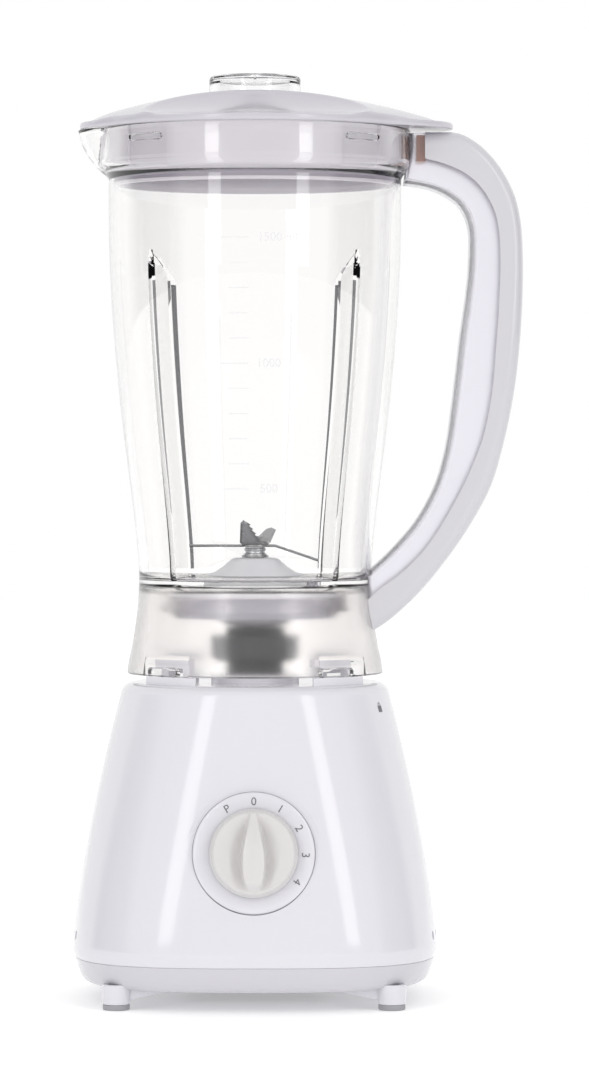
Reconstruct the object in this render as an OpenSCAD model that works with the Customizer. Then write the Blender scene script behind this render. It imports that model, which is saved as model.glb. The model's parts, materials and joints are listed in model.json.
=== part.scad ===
// Countertop blender with a clear jug, a wing-shaped lid and a rotary control.
// The drive axis is Z, the table is z = 0 and the control faces -Y.

/* [Base] */
// width of the base at its widest
base_w = 162; // [140:1:190]
// depth of the base at its widest
base_d = 154; // [130:1:180]
// width of the base at the deck
deck_w = 117; // [100:1:140]
// depth of the base at the deck
deck_d = 112; // [100:1:130]
// height of the deck the jug stands over
deck_z = 140.5; // [130:0.5:160]
// height of the seam between housing and bottom cover
seam_z = 20; // [14:1:30]
// wall thickness of the housing
wall = 2.5; // [2:0.1:4]

// distance of the feet from the drive axis, across
foot_x = 60; // [50:0.5:64]
// distance of the feet from the drive axis, front to back
foot_y = 55; // [45:0.5:60]

/* [Control] */
// height of the control axis
dial_z = 69.5; // [60:0.5:90]
// backward tilt of the control face
dial_tilt = 6; // [0:0.5:15]
// radius of the dial plate
plate_r = 26.5; // [20:0.5:32]
// radius of the knob
knob_r = 19.2; // [14:0.2:22]
// height of the knob over its plate
knob_h = 15; // [10:0.5:22]

/* [Motor] */
// side of the square field core
stator_w = 57; // [45:1:70]
// radius of the armature core
armature_r = 17; // [12:0.5:22]
// radius of the motor shaft
motor_shaft_r = 3; // [2.5:0.5:5]
// radius of the cooling fan
fan_r = 26; // [18:1:32]

/* [Jug] */
// height of the open edge of the skirt
skirt_z = 144.3; // [140:0.1:160]
// top of the jug floor
floor_z = 186; // [175:1:200]
// height of the rim of the jug
rim_z = 386; // [340:1:420]
// outside radius of the rim band
band_r = 69.4; // [60:0.2:80]
// wall thickness of the jug
jug_wall = 2.2; // [1.6:0.1:4]
// width of the handle
handle_w = 26; // [18:1:34]

/* [Blades] */
// length of the long blades from the axis
blade_r = 34; // [24:0.5:36]
// radius of the blade shaft
blade_shaft_r = 4; // [3:0.5:5]
// running clearance of the shafts
play = 0.03; // [0.02:0.01:0.08]

/* [Lid] */
// height of the crest of the lid
crest_z = 402.7; // [392:0.1:420]
// radius of the measuring cap
cap_r = 20.3; // [15:0.1:30]
// top of the measuring cap
cap_z = 410; // [400:0.5:430]

/* [Hidden] */
white = [0.91, 0.90, 0.94];
knob_grey = [0.84, 0.83, 0.83];
dark = [0.13, 0.13, 0.14];
steel = [0.72, 0.73, 0.75];
copper = [0.72, 0.42, 0.22];
clear = [0.85, 0.90, 0.95, 0.35];
wide_z = 23.5;
dial_y = 72;
corners = [45, 135, 225, 315];

function base_t(z) = max(0, (z - wide_z) / (deck_z - wide_z));
function tuck(z) = max(0, wide_z - z);
function half_w(z) = deck_w / 2 + (base_w - deck_w) / 2 * (1 - pow(base_t(z), 1.4)) - 0.28 * tuck(z);
function half_d(z) = deck_d / 2 + (base_d - deck_d) / 2 * (1 - pow(base_t(z), 1.4)) - 0.28 * tuck(z);
function signed(v, e) = sign(v) * pow(abs(v), e);
// the plan goes from a rounded square at the table to nearly round at the deck
function corner_power(z) = 2 / (2.9 - 0.7 * base_t(z));
function squircle(a, b, z, e) = [for (i = [0:47]) [a * signed(cos(i * 7.5), e),
    b * signed(sin(i * 7.5), e), z]];
function ring_at(z, inset) = squircle(half_w(z) - inset, half_d(z) - inset, z, corner_power(z));

// a closed skin over rings of n points each
module skin(rings, n) {
    m = len(rings);
    points = [for (r = rings) each r];
    sides = [for (j = [0:m - 2], i = [0:n - 1], k = [0, 1])
        k == 0 ? [j * n + i, (j + 1) * n + i, (j + 1) * n + (i + 1) % n]
               : [j * n + i, (j + 1) * n + (i + 1) % n, j * n + (i + 1) % n]];
    bottom = [for (i = [0:n - 1]) i];
    top = [for (i = [0:n - 1]) m * n - 1 - i];
    polyhedron(points = points, faces = concat([bottom], sides, [top]));
}

module ring(r_in, r_out, h) {
    difference() {
        cylinder(r = r_out, h = h, $fn = 96);
        translate([0, 0, -1]) cylinder(r = r_in, h = h + 2, $fn = 96);
    }
}

module sector(r, from, to, h) {
    rotate([0, 0, from]) rotate_extrude(angle = to - from, $fn = 96) square([r, h]);
}

module at_corners(x, y) {
    for (sx = [-1, 1], sy = [-1, 1]) translate([sx * x, sy * y, 0]) children();
}

module on_dial() {
    translate([0, -dial_y, dial_z]) rotate([90 - dial_tilt, 0, 0]) children();
}

// ---------------------------------------------------------------- base

module housing_outside(inset) {
    lower = [for (z = [seam_z, wide_z, 36, 52, 68, 84, 100, 115, 128, 136.5]) ring_at(z, inset)];
    upper = [ring_at(139.3, inset + 1.1), ring_at(deck_z, inset + 3.6)];
    skin(concat(lower, upper), 48);
}

module housing_inside() {
    skin([for (z = [seam_z - 1, wide_z, 50, 80, 110, deck_z - 3]) ring_at(z, wall)], 48);
}

module deck_pads() {
    intersection() {
        difference() {
            at_corners(37.4, 37.4) translate([-11.6, -11.6, deck_z - 2]) cube([23.2, 23.2, 5.5]);
            translate([0, 0, deck_z - 3]) cylinder(r = 39, h = 9, $fn = 96);
        }
        translate([0, 0, deck_z - 3]) cylinder(r = 54.5, h = 9, $fn = 96);
    }
}

module base_housing() {
    color(white) difference() {
        union() {
            difference() {
                housing_outside(0);
                housing_inside();
            }
            deck_pads();
            translate([0, 0, deck_z - 1]) ring(11, 19.6, 2.5);
            translate([0, 0, deck_z + 1.4]) ring(13.2, 19.6, 2.1);
            intersection() {
                skin([for (z = [seam_z + 0.2, wide_z, 50, 80, 110]) ring_at(z, 1.2)], 48);
                union() {
                    at_corners(50, 48) translate([0, 0, seam_z + 0.2]) cylinder(r = 5, h = 34, $fn = 48);
                    for (sx = [-1, 1], sy = [-1, 1]) translate([sx * 50, sy * 48, seam_z + 0.2])
                        rotate([0, 0, atan2(sy, sx)]) translate([2, -1.2, 0]) cube([30, 2.4, 34]);
                    on_dial() translate([0, 0, -12]) ring(plate_r + 0.25, plate_r + 2.8, 22);
                    translate([-30, 64, 34]) rotate([-90, 0, 0]) cylinder(r = 11, h = 14, $fn = 64);
                }
            }
            translate([-30, 70, 34]) rotate([-90, 0, 0]) cylinder(r = 11, h = 8.2, $fn = 64);
            at_corners(36, 36) translate([0, 0, 112]) cylinder(r = 5.5, h = deck_z - 114, $fn = 48);
            for (sx = [-1, 1]) translate([sx * 10.1 - 1, 44, 118]) cube([2, 7, 20]);
        }
        translate([0, 0, deck_z - 5]) cylinder(r = 11, h = 12, $fn = 64);
        on_dial() translate([0, 0, -22]) cylinder(r = plate_r + 0.25, h = 40, $fn = 96);
        translate([-30, 60, 34]) rotate([-90, 0, 0]) cylinder(r = 6.5, h = 25, $fn = 64);
        at_corners(36, 36) translate([0, 0, 111]) cylinder(r = 1.9, h = 16, $fn = 32);
        at_corners(50, 48) translate([0, 0, seam_z - 1]) cylinder(r = 1.6, h = 24, $fn = 32);
        translate([0, 47.5, deck_z - 5]) cylinder(r = 2.4, h = 8, $fn = 32);
        for (sx = [-1, 1], i = [0:5]) translate([sx * 80, -30 + i * 12, 30])
            rotate([0, -sx * 90, 0]) translate([0, 0, -6]) cylinder(r = 2, h = 14, $fn = 32);
    }
}

// posts with an arm over the place where a jug tab comes to rest
module base_lugs() {
    color(white) for (a = corners) difference() {
        rotate([0, 0, a - 14]) rotate_extrude(angle = 25, $fn = 96)
            translate([46, deck_z + 3.5]) square([4.6, 7.7]);
        rotate([0, 0, a - 15]) rotate_extrude(angle = 22, $fn = 96)
            translate([45, deck_z + 3]) square([7, 5.1]);
    }
}

module bottom_cover() {
    color(white) difference() {
        union() {
            difference() {
                skin([ring_at(8.8, 3.4), ring_at(9.6, 1.4), ring_at(11.5, 0.2), ring_at(seam_z, 0)], 48);
                skin([ring_at(11.3, 3.5), ring_at(seam_z + 1, 2.6)], 48);
            }
            at_corners(foot_x, foot_y) translate([0, 0, 2.5]) cylinder(r = 6.2, h = 7.5, $fn = 64);
            at_corners(50, 48) translate([0, 0, 9.5]) cylinder(r = 5, h = seam_z - 9.5, $fn = 48);
            for (mx = [0, 1], sy = [-1, 1]) mirror([mx, 0, 0]) translate([foot_x - 5, sy * foot_y + 1.2, 0])
                rotate([90, 0, 0]) linear_extrude(height = 2.4) polygon([[0, 4], [0, 9.4], [-19, 9.4],
                    [-19, 8.6]]);
        }
        at_corners(foot_x, foot_y) translate([0, 0, 1]) cylinder(r = 3.5, h = 6.2, $fn = 48);
        at_corners(50, 48) translate([0, 0, 8]) cylinder(r = 3.6, h = 5, $fn = 48);
        at_corners(50, 48) translate([0, 0, 8]) cylinder(r = 1.8, h = 14, $fn = 32);
        for (i = [-4:4]) translate([i * 7 - 1.5, -24, 8]) cube([3, 48, 5]);
    }
}

module rubber_feet() {
    color([0.62, 0.62, 0.63]) at_corners(foot_x, foot_y) {
        cylinder(r = 5.9, h = 2.5, $fn = 64);
        translate([0, 0, 2.4]) cylinder(r = 3.45, h = 4.4, $fn = 48);
    }
}

module cover_screws() {
    color(steel) at_corners(50, 48) {
        translate([0, 0, 10.6]) cylinder(r = 3.2, h = 2.4, $fn = 48);
        translate([0, 0, 12.9]) cylinder(r = 1.6, h = 22, $fn = 32);
    }
}

module cord_inlet_bush() {
    color(dark) translate([-30, 0, 34]) rotate([-90, 0, 0]) difference() {
        union() {
            translate([0, 0, 70.5]) cylinder(r = 6.4, h = 8, $fn = 64);
            translate([0, 0, 78.2]) cylinder(r = 8.5, h = 2.3, $fn = 64);
            translate([0, 0, 61]) cylinder(r = 6.4, h = 3, $fn = 64);
            translate([0, 0, 60]) cylinder(r = 5.4, h = 12, $fn = 64);
        }
        translate([0, 0, 55]) cylinder(r = 3.6, h = 30, $fn = 64);
    }
}

// ------------------------------------------------------------- control

module dial_plate() {
    color(white) on_dial() difference() {
        union() {
            translate([0, 0, -2.4]) cylinder(r = plate_r, h = 2.4, $fn = 128);
            translate([0, 0, -12]) ring(plate_r - 2, plate_r, 10);
            translate([0, 0, -14]) ring(plate_r - 2, plate_r + 2.4, 2);
            translate([0, 0, -8]) cylinder(r = 8, h = 6, $fn = 64);
        }
        translate([0, 0, -20]) cylinder(r = 5.2, h = 25, $fn = 64);
    }
}

module rotary_switch() {
    color(dark) on_dial() difference() {
        union() {
            translate([-15, -15, -24.5]) cube([30, 30, 10]);
            translate([0, 0, -14.6]) cylinder(r = 5.1, h = 11, $fn = 64);
            for (i = [-2:2]) translate([i * 5.5 - 1, -13, -30]) cube([2, 0.8, 6]);
        }
        translate([0, 0, -26]) cylinder(r = motor_shaft_r + play, h = 30, $fn = 64);
    }
}

module switch_shaft() {
    color(steel) on_dial() translate([0, 0, -24]) cylinder(r = motor_shaft_r, h = 32, $fn = 64);
}

// half of the outline of the grip, from its point to its rounded foot
grip_half = [[1.4, 17.4], [2.6, 12], [4, 6], [5, 0], [5.3, -4], [5.1, -8], [4.4, -12], [3.2, -15],
    [1.2, -17.2]];

module control_dial() {
    color(knob_grey) on_dial() difference() {
        union() {
            translate([0, 0, 0.5]) cylinder(r = knob_r, h = 2.2, $fn = 128);
            translate([0, 0, 2.7]) cylinder(r1 = knob_r - 0.5, r2 = knob_r - 1.7, h = 4.8, $fn = 128);
            intersection() {
                translate([0, 0, 7]) linear_extrude(height = knob_h - 7)
                    polygon(concat(grip_half, [for (i = [8:-1:0]) [-grip_half[i][0], grip_half[i][1]]]));
                translate([0, 0, 1]) cylinder(r = knob_r - 1.8, h = knob_h, $fn = 96);
            }
        }
        translate([0, 0, -1]) cylinder(r = motor_shaft_r, h = 9.1, $fn = 64);
    }
}

// --------------------------------------------------------------- motor

module lower_bracket() {
    color(steel) difference() {
        union() {
            translate([-33, -12, 33]) cube([66, 24, 3]);
            translate([0, 0, 31]) cylinder(r = 12, h = 8, $fn = 64);
            for (sx = [-1, 1], y = [-12, 6]) translate([sx * 26 - 2, y, 33]) cube([4, 6, 25]);
        }
        translate([0, 0, 30]) cylinder(r = 8, h = 10, $fn = 64);
    }
}

module upper_bracket() {
    color(steel) difference() {
        union() {
            for (a = [45, 135]) rotate([0, 0, a]) translate([-58, -8, 106.5]) cube([116, 16, 2.5]);
            translate([0, 0, 104]) cylinder(r = 12, h = 8, $fn = 64);
            for (sx = [-1, 1], sy = [-1, 1]) translate([sx * 25, sy * 25, 92]) cylinder(r = 3.4,
                h = 15, $fn = 48);
        }
        translate([0, 0, 103]) cylinder(r = 8, h = 10, $fn = 64);
        at_corners(36, 36) translate([0, 0, 105]) cylinder(r = 5, h = 6, $fn = 48);
    }
}

module bearing(z) {
    translate([0, 0, z]) difference() {
        cylinder(r = 8, h = 6, $fn = 64);
        translate([0, 0, -1]) cylinder(r = motor_shaft_r + play, h = 8, $fn = 64);
    }
}

module lower_bearing() {
    color([0.66, 0.56, 0.38]) bearing(32);
}

module upper_bearing() {
    color([0.66, 0.56, 0.38]) bearing(105);
}

module motor_dampers() {
    color(dark) at_corners(36, 36) difference() {
        union() {
            translate([0, 0, 104.5]) cylinder(r = 6.6, h = 2, $fn = 48);
            translate([0, 0, 106.4]) cylinder(r = 4.95, h = 2.7, $fn = 48);
            translate([0, 0, 109]) cylinder(r = 6.6, h = 3, $fn = 48);
        }
        translate([0, 0, 100]) cylinder(r = 2.1, h = 20, $fn = 32);
    }
}

module motor_screws() {
    color(steel) at_corners(36, 36) {
        translate([0, 0, 101.5]) cylinder(r = 4.2, h = 3, $fn = 48);
        translate([0, 0, 104.4]) cylinder(r = 1.9, h = 21, $fn = 32);
    }
}

module motor_stator() {
    color([0.42, 0.43, 0.46]) difference() {
        translate([-stator_w / 2, -stator_w / 2, 58]) cube([stator_w, stator_w, 34]);
        translate([0, 0, 57]) cylinder(r = armature_r + 0.6, h = 36, $fn = 96);
        for (sy = [-1, 1]) translate([-16, sy * 18 - 4, 57]) cube([32, 8, 36]);
    }
}

module field_coils() {
    color(copper) for (sy = [-1, 1]) difference() {
        translate([-15.5, sy * 18 - 3.6, 52.5]) cube([31, 7.2, 45]);
        translate([0, 0, 50]) cylinder(r = armature_r + 0.8, h = 50, $fn = 96);
    }
}

module brush_holders() {
    color([0.76, 0.62, 0.32]) for (s = [0, 180]) rotate([0, 0, s]) difference() {
        translate([12.2, -4.5, 41.5]) cube([20, 9, 9]);
        translate([11, -3.1, 43]) cube([19.5, 6.2, 6]);
    }
}

module carbon_brushes() {
    color([0.2, 0.2, 0.21]) for (s = [0, 180]) rotate([0, 0, s])
        translate([10.9, -3, 43.1]) cube([10, 6, 5.8]);
}

module brush_springs() {
    color(steel) for (s = [0, 180]) rotate([0, 0, s]) for (i = [0:3])
        translate([21.3 + i * 2.3, 0, 46]) rotate([0, 90, 0]) ring(1.4, 2.3, 1.7);
}

module motor_shaft() {
    color(steel) translate([0, 0, 18]) cylinder(r = motor_shaft_r, h = 134, $fn = 64);
}

module armature_core() {
    color([0.42, 0.43, 0.46]) translate([0, 0, 60]) difference() {
        cylinder(r = armature_r, h = 30, $fn = 96);
        for (i = [0:11]) rotate([0, 0, i * 30]) translate([armature_r - 5, -1, -1]) cube([6, 2, 32]);
        translate([0, 0, -1]) cylinder(r = motor_shaft_r, h = 32, $fn = 64);
    }
}

module armature_windings() {
    color(copper) {
        translate([0, 0, 53]) ring(motor_shaft_r, 15, 7);
        translate([0, 0, 90]) ring(motor_shaft_r, 15, 7);
    }
}

module commutator() {
    color([0.80, 0.50, 0.28]) translate([0, 0, 40.5]) difference() {
        cylinder(r = 10.5, h = 12, $fn = 96);
        for (i = [0:11]) rotate([0, 0, 15 + i * 30]) translate([9, -0.3, -1]) cube([3, 0.6, 11]);
        translate([0, 0, -1]) cylinder(r = motor_shaft_r, h = 14, $fn = 64);
    }
}

module cooling_fan() {
    color([0.25, 0.25, 0.27]) translate([0, 0, 19]) {
        difference() {
            union() {
                cylinder(r = fan_r, h = 1.6, $fn = 96);
                cylinder(r = 7, h = 9, $fn = 64);
                for (i = [0:8]) rotate([0, 0, i * 40]) translate([6, -0.8, 0.5]) cube([fan_r - 6.6, 1.6, 8]);
            }
            translate([0, 0, -1]) cylinder(r = motor_shaft_r, h = 12, $fn = 64);
        }
    }
}

module deck_seal() {
    color(dark) difference() {
        union() {
            translate([0, 0, deck_z - 3.5]) cylinder(r = 10.95, h = 4.6, $fn = 64);
            translate([0, 0, deck_z - 4.5]) cylinder(r = 12.5, h = 1.4, $fn = 64);
        }
        translate([0, 0, deck_z - 6]) cylinder(r = motor_shaft_r + 0.3, h = 10, $fn = 64);
    }
}

// six rounded lobes round a core
module star(core, lobe, reach, h) {
    cylinder(r = core, h = h, $fn = 64);
    for (i = [0:5]) rotate([0, 0, i * 60]) translate([reach, 0, 0]) cylinder(r = lobe, h = h, $fn = 32);
}

module drive_coupling() {
    color(dark) difference() {
        union() {
            translate([0, 0, 142.4]) cylinder(r = 12.5, h = 8, $fn = 96);
            translate([0, 0, 149.6]) cylinder(r1 = 17.5, r2 = 19.5, h = 2, $fn = 96);
            translate([0, 0, 151.6]) cylinder(r = 19.5, h = 9.4, $fn = 96);
        }
        translate([0, 0, 153.6]) star(10.2, 2.6, 11.6, 10);
        translate([0, 0, 141]) cylinder(r = motor_shaft_r, h = 11, $fn = 64);
    }
}

module interlock_switch() {
    color(dark) translate([-9, 42, 118.5]) difference() {
        cube([18, 11, 11]);
        translate([9, 5.5, 6]) cylinder(r = 1.6, h = 6, $fn = 32);
    }
}

module interlock_spring() {
    color(steel) translate([0, 47.5, 0]) for (i = [0:2])
        translate([0, 0, 129.8 + i * 1.5]) ring(1.5, 2.2, 1.1);
}

module interlock_plunger() {
    color([0.86, 0.86, 0.88]) translate([0, 47.5, 0]) {
        translate([0, 0, 134.6]) cylinder(r = 2.37, h = 9.4, $fn = 32);
        translate([0, 0, 134.4]) cylinder(r = 3.6, h = 1.4, $fn = 32);
        translate([0, 0, 128.0]) cylinder(r = 1.2, h = 7, $fn = 32);
    }
}

// ----------------------------------------------------------------- jug

jug_line = [[skirt_z, 57.0], [150, 56.3], [157, 54.7], [166, 53.3], [175, 52.2], [184, 51.7], [191, 51.8],
    [197, 52.2], [204, 52.8], [211, 53.6], [220, 54.6], [229, 55.6], [238, 56.9], [247, 58.1], [256, 59.1],
    [265, 60.1], [274, 61.0], [283, 61.9], [292, 62.6], [301, 63.2], [310, 63.9], [320, 64.5], [332, 65.0],
    [348, 65.1], [364, 65.2]];
function jug_r(z) = lookup(z, jug_line);
spout_line = [[362, 6], [366, 11], [369.3, 14.3], [373.6, 17.9], [378.5, 20.7], [rim_z, 22.9]];

// a smooth curve through the points p, four steps a span
function curve(p) = let (n = len(p) - 1) [for (i = [0:n - 1], k = [0:3])
    let (a = p[max(0, i - 1)], b = p[i], c = p[i + 1], d = p[min(n, i + 2)], t = k / 4)
    0.5 * (2 * b + (c - a) * t + (2 * a - 5 * b + 4 * c - d) * t * t + (3 * b - a - 3 * c + d) * t * t * t)];

// side view lines of the handle: back edge, joint of cover and channel, finger edge
back_line = [[75.4, 384.7], [90.5, 384.4], [103.9, 375.8], [113.7, 362.4], [118.8, 339], [118.6, 306],
    [114.2, 264.3], [105.3, 228.6], [91.5, 204], [72, 179.5], [52.6, 163.8]];
joint_line = [[75.4, 372.7], [87.9, 369.1], [98.5, 362], [106.2, 350.5], [108.7, 336], [107.6, 299],
    [103.5, 257], [93, 229.5], [79.5, 205], [64.5, 189], [50.4, 176.5]];
grip_line = [[64.6, 361.5], [82.5, 358.2], [91.5, 350.8], [95.2, 338], [93.2, 313.4], [89.6, 282.1],
    [86.2, 249.0], [78.5, 224.0], [63, 203], [50.8, 191]];

module slab(points, w) {
    rotate([90, 0, 0]) translate([0, 0, -w / 2]) linear_extrude(height = w) polygon(points);
}

// half of the jug's outline from one height to another, drawn in from the outside by offset_r
function wall_points(offset_r, from, to) = concat([[jug_r(from) - offset_r, from]],
    [for (p = jug_line) if (p[0] > from && p[0] < to) [p[1] - offset_r, p[0]]], [[jug_r(to) - offset_r, to]]);

module wall_line(offset_r, from, to) {
    polygon(concat([[0, from]], wall_points(offset_r, from, to), [[0, to]]));
}

module band_line() {
    polygon([[0, 363.5], [65.2, 363.5], [66.3, 366.2], [69.0, 368.6], [band_r, 369.4], [band_r, rim_z],
        [0, rim_z]]);
}

module spout(inset, top) {
    translate([-56, 0, 0]) rotate_extrude($fn = 96)
        polygon(concat([[0, spout_line[0][0] + inset]],
            [for (p = spout_line) [max(0.5, p[1] - inset), p[0] + (p[0] < rim_z ? inset * 0.7 : top)]],
            [[0, rim_z + top]]));
}

module jug_tab(r_in, r_out, az, half, z, h) {
    rotate([0, 0, az - half]) rotate_extrude(angle = 2 * half, $fn = 96)
        translate([r_in, z]) square([r_out - r_in, h]);
}

module rib(az) {
    rotate([0, 0, az]) rotate([90, 0, 0]) translate([0, 0, -1.6]) linear_extrude(height = 3.2)
        polygon(concat([for (z = [floor_z - 1, 211, 247, 283, 318, 331]) [jug_r(z) - 1.2, z]],
            [for (z = [320, 300, 270, 247, 225, 204, floor_z - 1]) [jug_r(z) - jug_wall - 9, z]]));
}

module jug_handle() {
    color(clear) difference() {
        slab(concat(curve(joint_line), [[50.4, 176.5]], [[49, 191]],
            [for (i = [len(grip_line) - 1:-1:0]) grip_line[i]], [[64.6, 384], [75.4, 384]]), handle_w);
        slab(concat(curve(joint_line), [[60, 187]], [[75, 203], [88, 228], [98, 257], [102, 299],
            [103.4, 334],
            [99, 349], [90, 360], [76, 365]]), handle_w - 5);
        translate([71.1, -(handle_w - 5) / 2, 368]) cube([10, handle_w - 5, 20]);
        rotate_extrude($fn = 128) wall_line(0, skirt_z, 364);
        rotate_extrude($fn = 128) band_line();
    }
}

module jug() {
    color(clear) difference() {
        union() {
            rotate_extrude($fn = 128) wall_line(0, floor_z - 3, 364);
            rotate_extrude($fn = 128) band_line();
            spout(0, 0);
        }
        // the inside of the bowl, its band and its spout
        difference() {
            union() {
                rotate_extrude($fn = 128) wall_line(jug_wall, floor_z, 364);
                rotate_extrude($fn = 128)
                    polygon([[0, 363.5], [63.0, 363.5], [63.0, 364.4], [66.9, 367.9], [67, rim_z + 1],
                        [0, rim_z + 1]]);
                spout(jug_wall, 1);
            }
            for (a = corners) rib(a);
            for (a = corners) jug_tab(65.2, 68, a, 8.4, 378.7, 3.1);
        }
        translate([0, 0, floor_z - 5]) cylinder(r = 23.2, h = 8, $fn = 96);
    }
}

// the frosted skirt under the floor, with the tabs that lock into the base
module jug_skirt() {
    outside = wall_points(0, skirt_z, floor_z - 3);
    inside = wall_points(jug_wall, skirt_z, floor_z - 3);
    color(clear) difference() {
        union() {
            rotate_extrude($fn = 128) polygon(concat(outside, [for (i = [len(inside) - 1:-1:0]) inside[i]]));
            translate([0, 0, 166]) ring(39.2, 41.4, floor_z - 169);
            for (a = corners) jug_tab(51.2, 56, a - 3, 10.5, skirt_z, 4.2);
            jug_tab(45, 56, 90, 3.2, skirt_z, 6);
            for (a = [60, 120, 240, 300]) rotate([0, 0, a])
                translate([41, -1, 166]) cube([10, 2, floor_z - 169]);
        }
        // flat windows that show the lugs of the base
        for (a = corners) jug_tab(56.1, 60, a, 14.5, skirt_z - 1, 8.6);
    }
}

module handle_cover() {
    color(white) difference() {
        union() {
            slab(concat(curve(back_line), [back_line[10]], [[50.4, 176.5]],
                [for (i = [len(curve(joint_line)) - 1:-1:0]) curve(joint_line)[i]]), handle_w);
            translate([71.4, -9.5, 371.4]) cube([4.2, 19, 12.2]);
        }
        slab([[76.5, 381.5], [90, 381.2], [101.5, 373.4], [110.8, 360.9], [115.7, 339], [115.5, 306],
            [111.2, 265],
            [102.5, 230.2], [89, 206.3], [72.5, 184.6], [66, 187.5], [78.5, 202.6], [92, 228], [102.5, 257],
            [106.6, 299], [107.7, 336], [105, 350], [97.8, 361.1], [87.5, 368], [76.5, 370.5]], handle_w - 5);
        slab(concat(curve(joint_line), [[60, 187]], [[75, 203], [88, 228], [98, 257], [102, 299],
            [103.4, 334],
            [99, 349], [90, 360], [76, 365]]), handle_w - 5);
        rotate_extrude($fn = 128) wall_line(0, skirt_z, 210);
    }
}

module blade_seal() {
    color(dark) translate([0, 0, 181.5]) ring(24.5, 37, 1.5);
}

module blade_base() {
    color([0.80, 0.80, 0.83]) rotate_extrude($fn = 128) polygon([[6.5, 166], [14, 166], [34, 178.4],
        [37.2, 178.4],
        [37.2, 181.5], [22.8, 181.5], [22.8, 186], [22.4, 186.4], [19.8, 188.3], [15.4, 191.2], [11.8, 194.1],
        [10.2, 195.4], [9.2, 195.7], [6.5, 195.7]]);
}

module blade_ring_nut() {
    color([0.80, 0.80, 0.83]) difference() {
        rotate_extrude($fn = 96) polygon([[34.6, 169], [36.4, 169], [39, 175], [39, 178.3], [34.6, 178.3]]);
        for (i = [0:7]) rotate([0, 0, i * 45 + 22.5]) translate([33, -3, 168]) cube([3.2, 6, 7]);
    }
}

module blade_bushes() {
    color([0.66, 0.56, 0.38]) {
        translate([0, 0, 166.5]) ring(blade_shaft_r + play, 6.5, 8);
        translate([0, 0, 184]) ring(blade_shaft_r + play, 6.5, 8);
    }
}

module shaft_seal() {
    color(dark) translate([0, 0, 192.4]) ring(blade_shaft_r + play, 6.5, 3);
}

module blade_shaft() {
    color(steel) translate([0, 0, 155]) cylinder(r = blade_shaft_r, h = 50.2, $fn = 64);
}

module driven_coupling() {
    color(dark) difference() {
        union() {
            translate([0, 0, 154.2]) star(9.6, 2.1, 11.4, 7.4);
            translate([0, 0, 161.4]) cylinder(r = 13, h = 3.2, $fn = 96);
            translate([0, 0, 164.5]) cylinder(r1 = 13, r2 = 8, h = 1.1, $fn = 96);
        }
        translate([0, 0, 150]) cylinder(r = blade_shaft_r, h = 20, $fn = 64);
    }
}

module thrust_washer() {
    color(steel) translate([0, 0, 196]) ring(blade_shaft_r, 6, 0.9);
}

module blade_spacer() {
    color([0.55, 0.53, 0.52]) difference() {
        union() {
            translate([0, 0, 196.9]) cylinder(r1 = 5.2, r2 = 4.3, h = 1.8, $fn = 64);
            translate([0, 0, 198.7]) cylinder(r1 = 4.3, r2 = 5, h = 1.9, $fn = 64);
        }
        translate([0, 0, 196]) cylinder(r = blade_shaft_r, h = 6, $fn = 64);
    }
}

// one arm of sheet metal, root at the axis, bent by lift degrees at the bend line;
// teeth is the number of steps in its left edge
module arm(length, root, tip, bend_x, lift, teeth) {
    long = length - bend_x;
    step = long / max(1, teeth);
    plain = [[long, tip / 2], [-0.4, root / 2]];
    saw = [for (i = [teeth:-1:1], k = [0, 1])
        [i * step - k * step * 0.7, tip / 2 + (root - tip) / 2 * (1 - i / teeth) + k * 0.9]];
    translate([0, -root / 2 + 0.2, 0]) cube([bend_x + 0.2, root - 0.4, 1.2]);
    translate([bend_x, 0, 0]) rotate([0, -lift, 0]) linear_extrude(height = 1.2)
        polygon(concat([[-0.4, -root / 2], [long, -tip / 2], [long + tip * 0.3, 0]],
            teeth > 0 ? concat(saw, [[-0.4, root / 2]]) : plain));
}

module lower_blade() {
    color(steel) translate([0, 0, 200.6]) difference() {
        union() {
            cylinder(r = 6, h = 1.2, $fn = 64);
            arm(blade_r - 0.5, 9, 5, 9, -19, 0);
            rotate([0, 0, 180]) arm(blade_r - 1.9, 9, 5, 9, 0, 0);
        }
        translate([0, 0, -5]) cylinder(r = blade_shaft_r, h = 10, $fn = 64);
    }
}

module upper_blade() {
    color(steel) translate([0, 0, 201.8]) difference() {
        union() {
            cylinder(r = 6, h = 1.2, $fn = 64);
            rotate([0, 0, -97]) arm(23, 10, 3, 7.5, 34, 5);
            rotate([0, 0, 77]) arm(22, 8.6, 5, 7.5, 22, 0);
        }
        translate([0, 0, -5]) cylinder(r = blade_shaft_r, h = 10, $fn = 64);
    }
}

module blade_nut() {
    color(steel) translate([0, 0, 203]) difference() {
        cylinder(r = 5.4, h = 1.8, $fn = 6);
        translate([0, 0, -1]) cylinder(r = blade_shaft_r, h = 5, $fn = 64);
    }
}

// ----------------------------------------------------------------- lid

// plan outline: a round lid with a wing towards the spout and a longer one over the handle
function plan_r(a) = let (tip = cos(a) < 0 ? 78 : 88.3)
    max(69.6, 1 / sqrt(pow(cos(a) / tip, 2) + pow(sin(a) / 50, 2)));
function dome(x, y) = crest_z - (x < 0 ? 0.0022 : 0.0019) * x * x - (0.001 + 0.00000085 * x * x) * y * y
    - 2.2 * pow(max(0, (abs(x) - (x < 0 ? 62 : 74)) / 16), 2);

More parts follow.
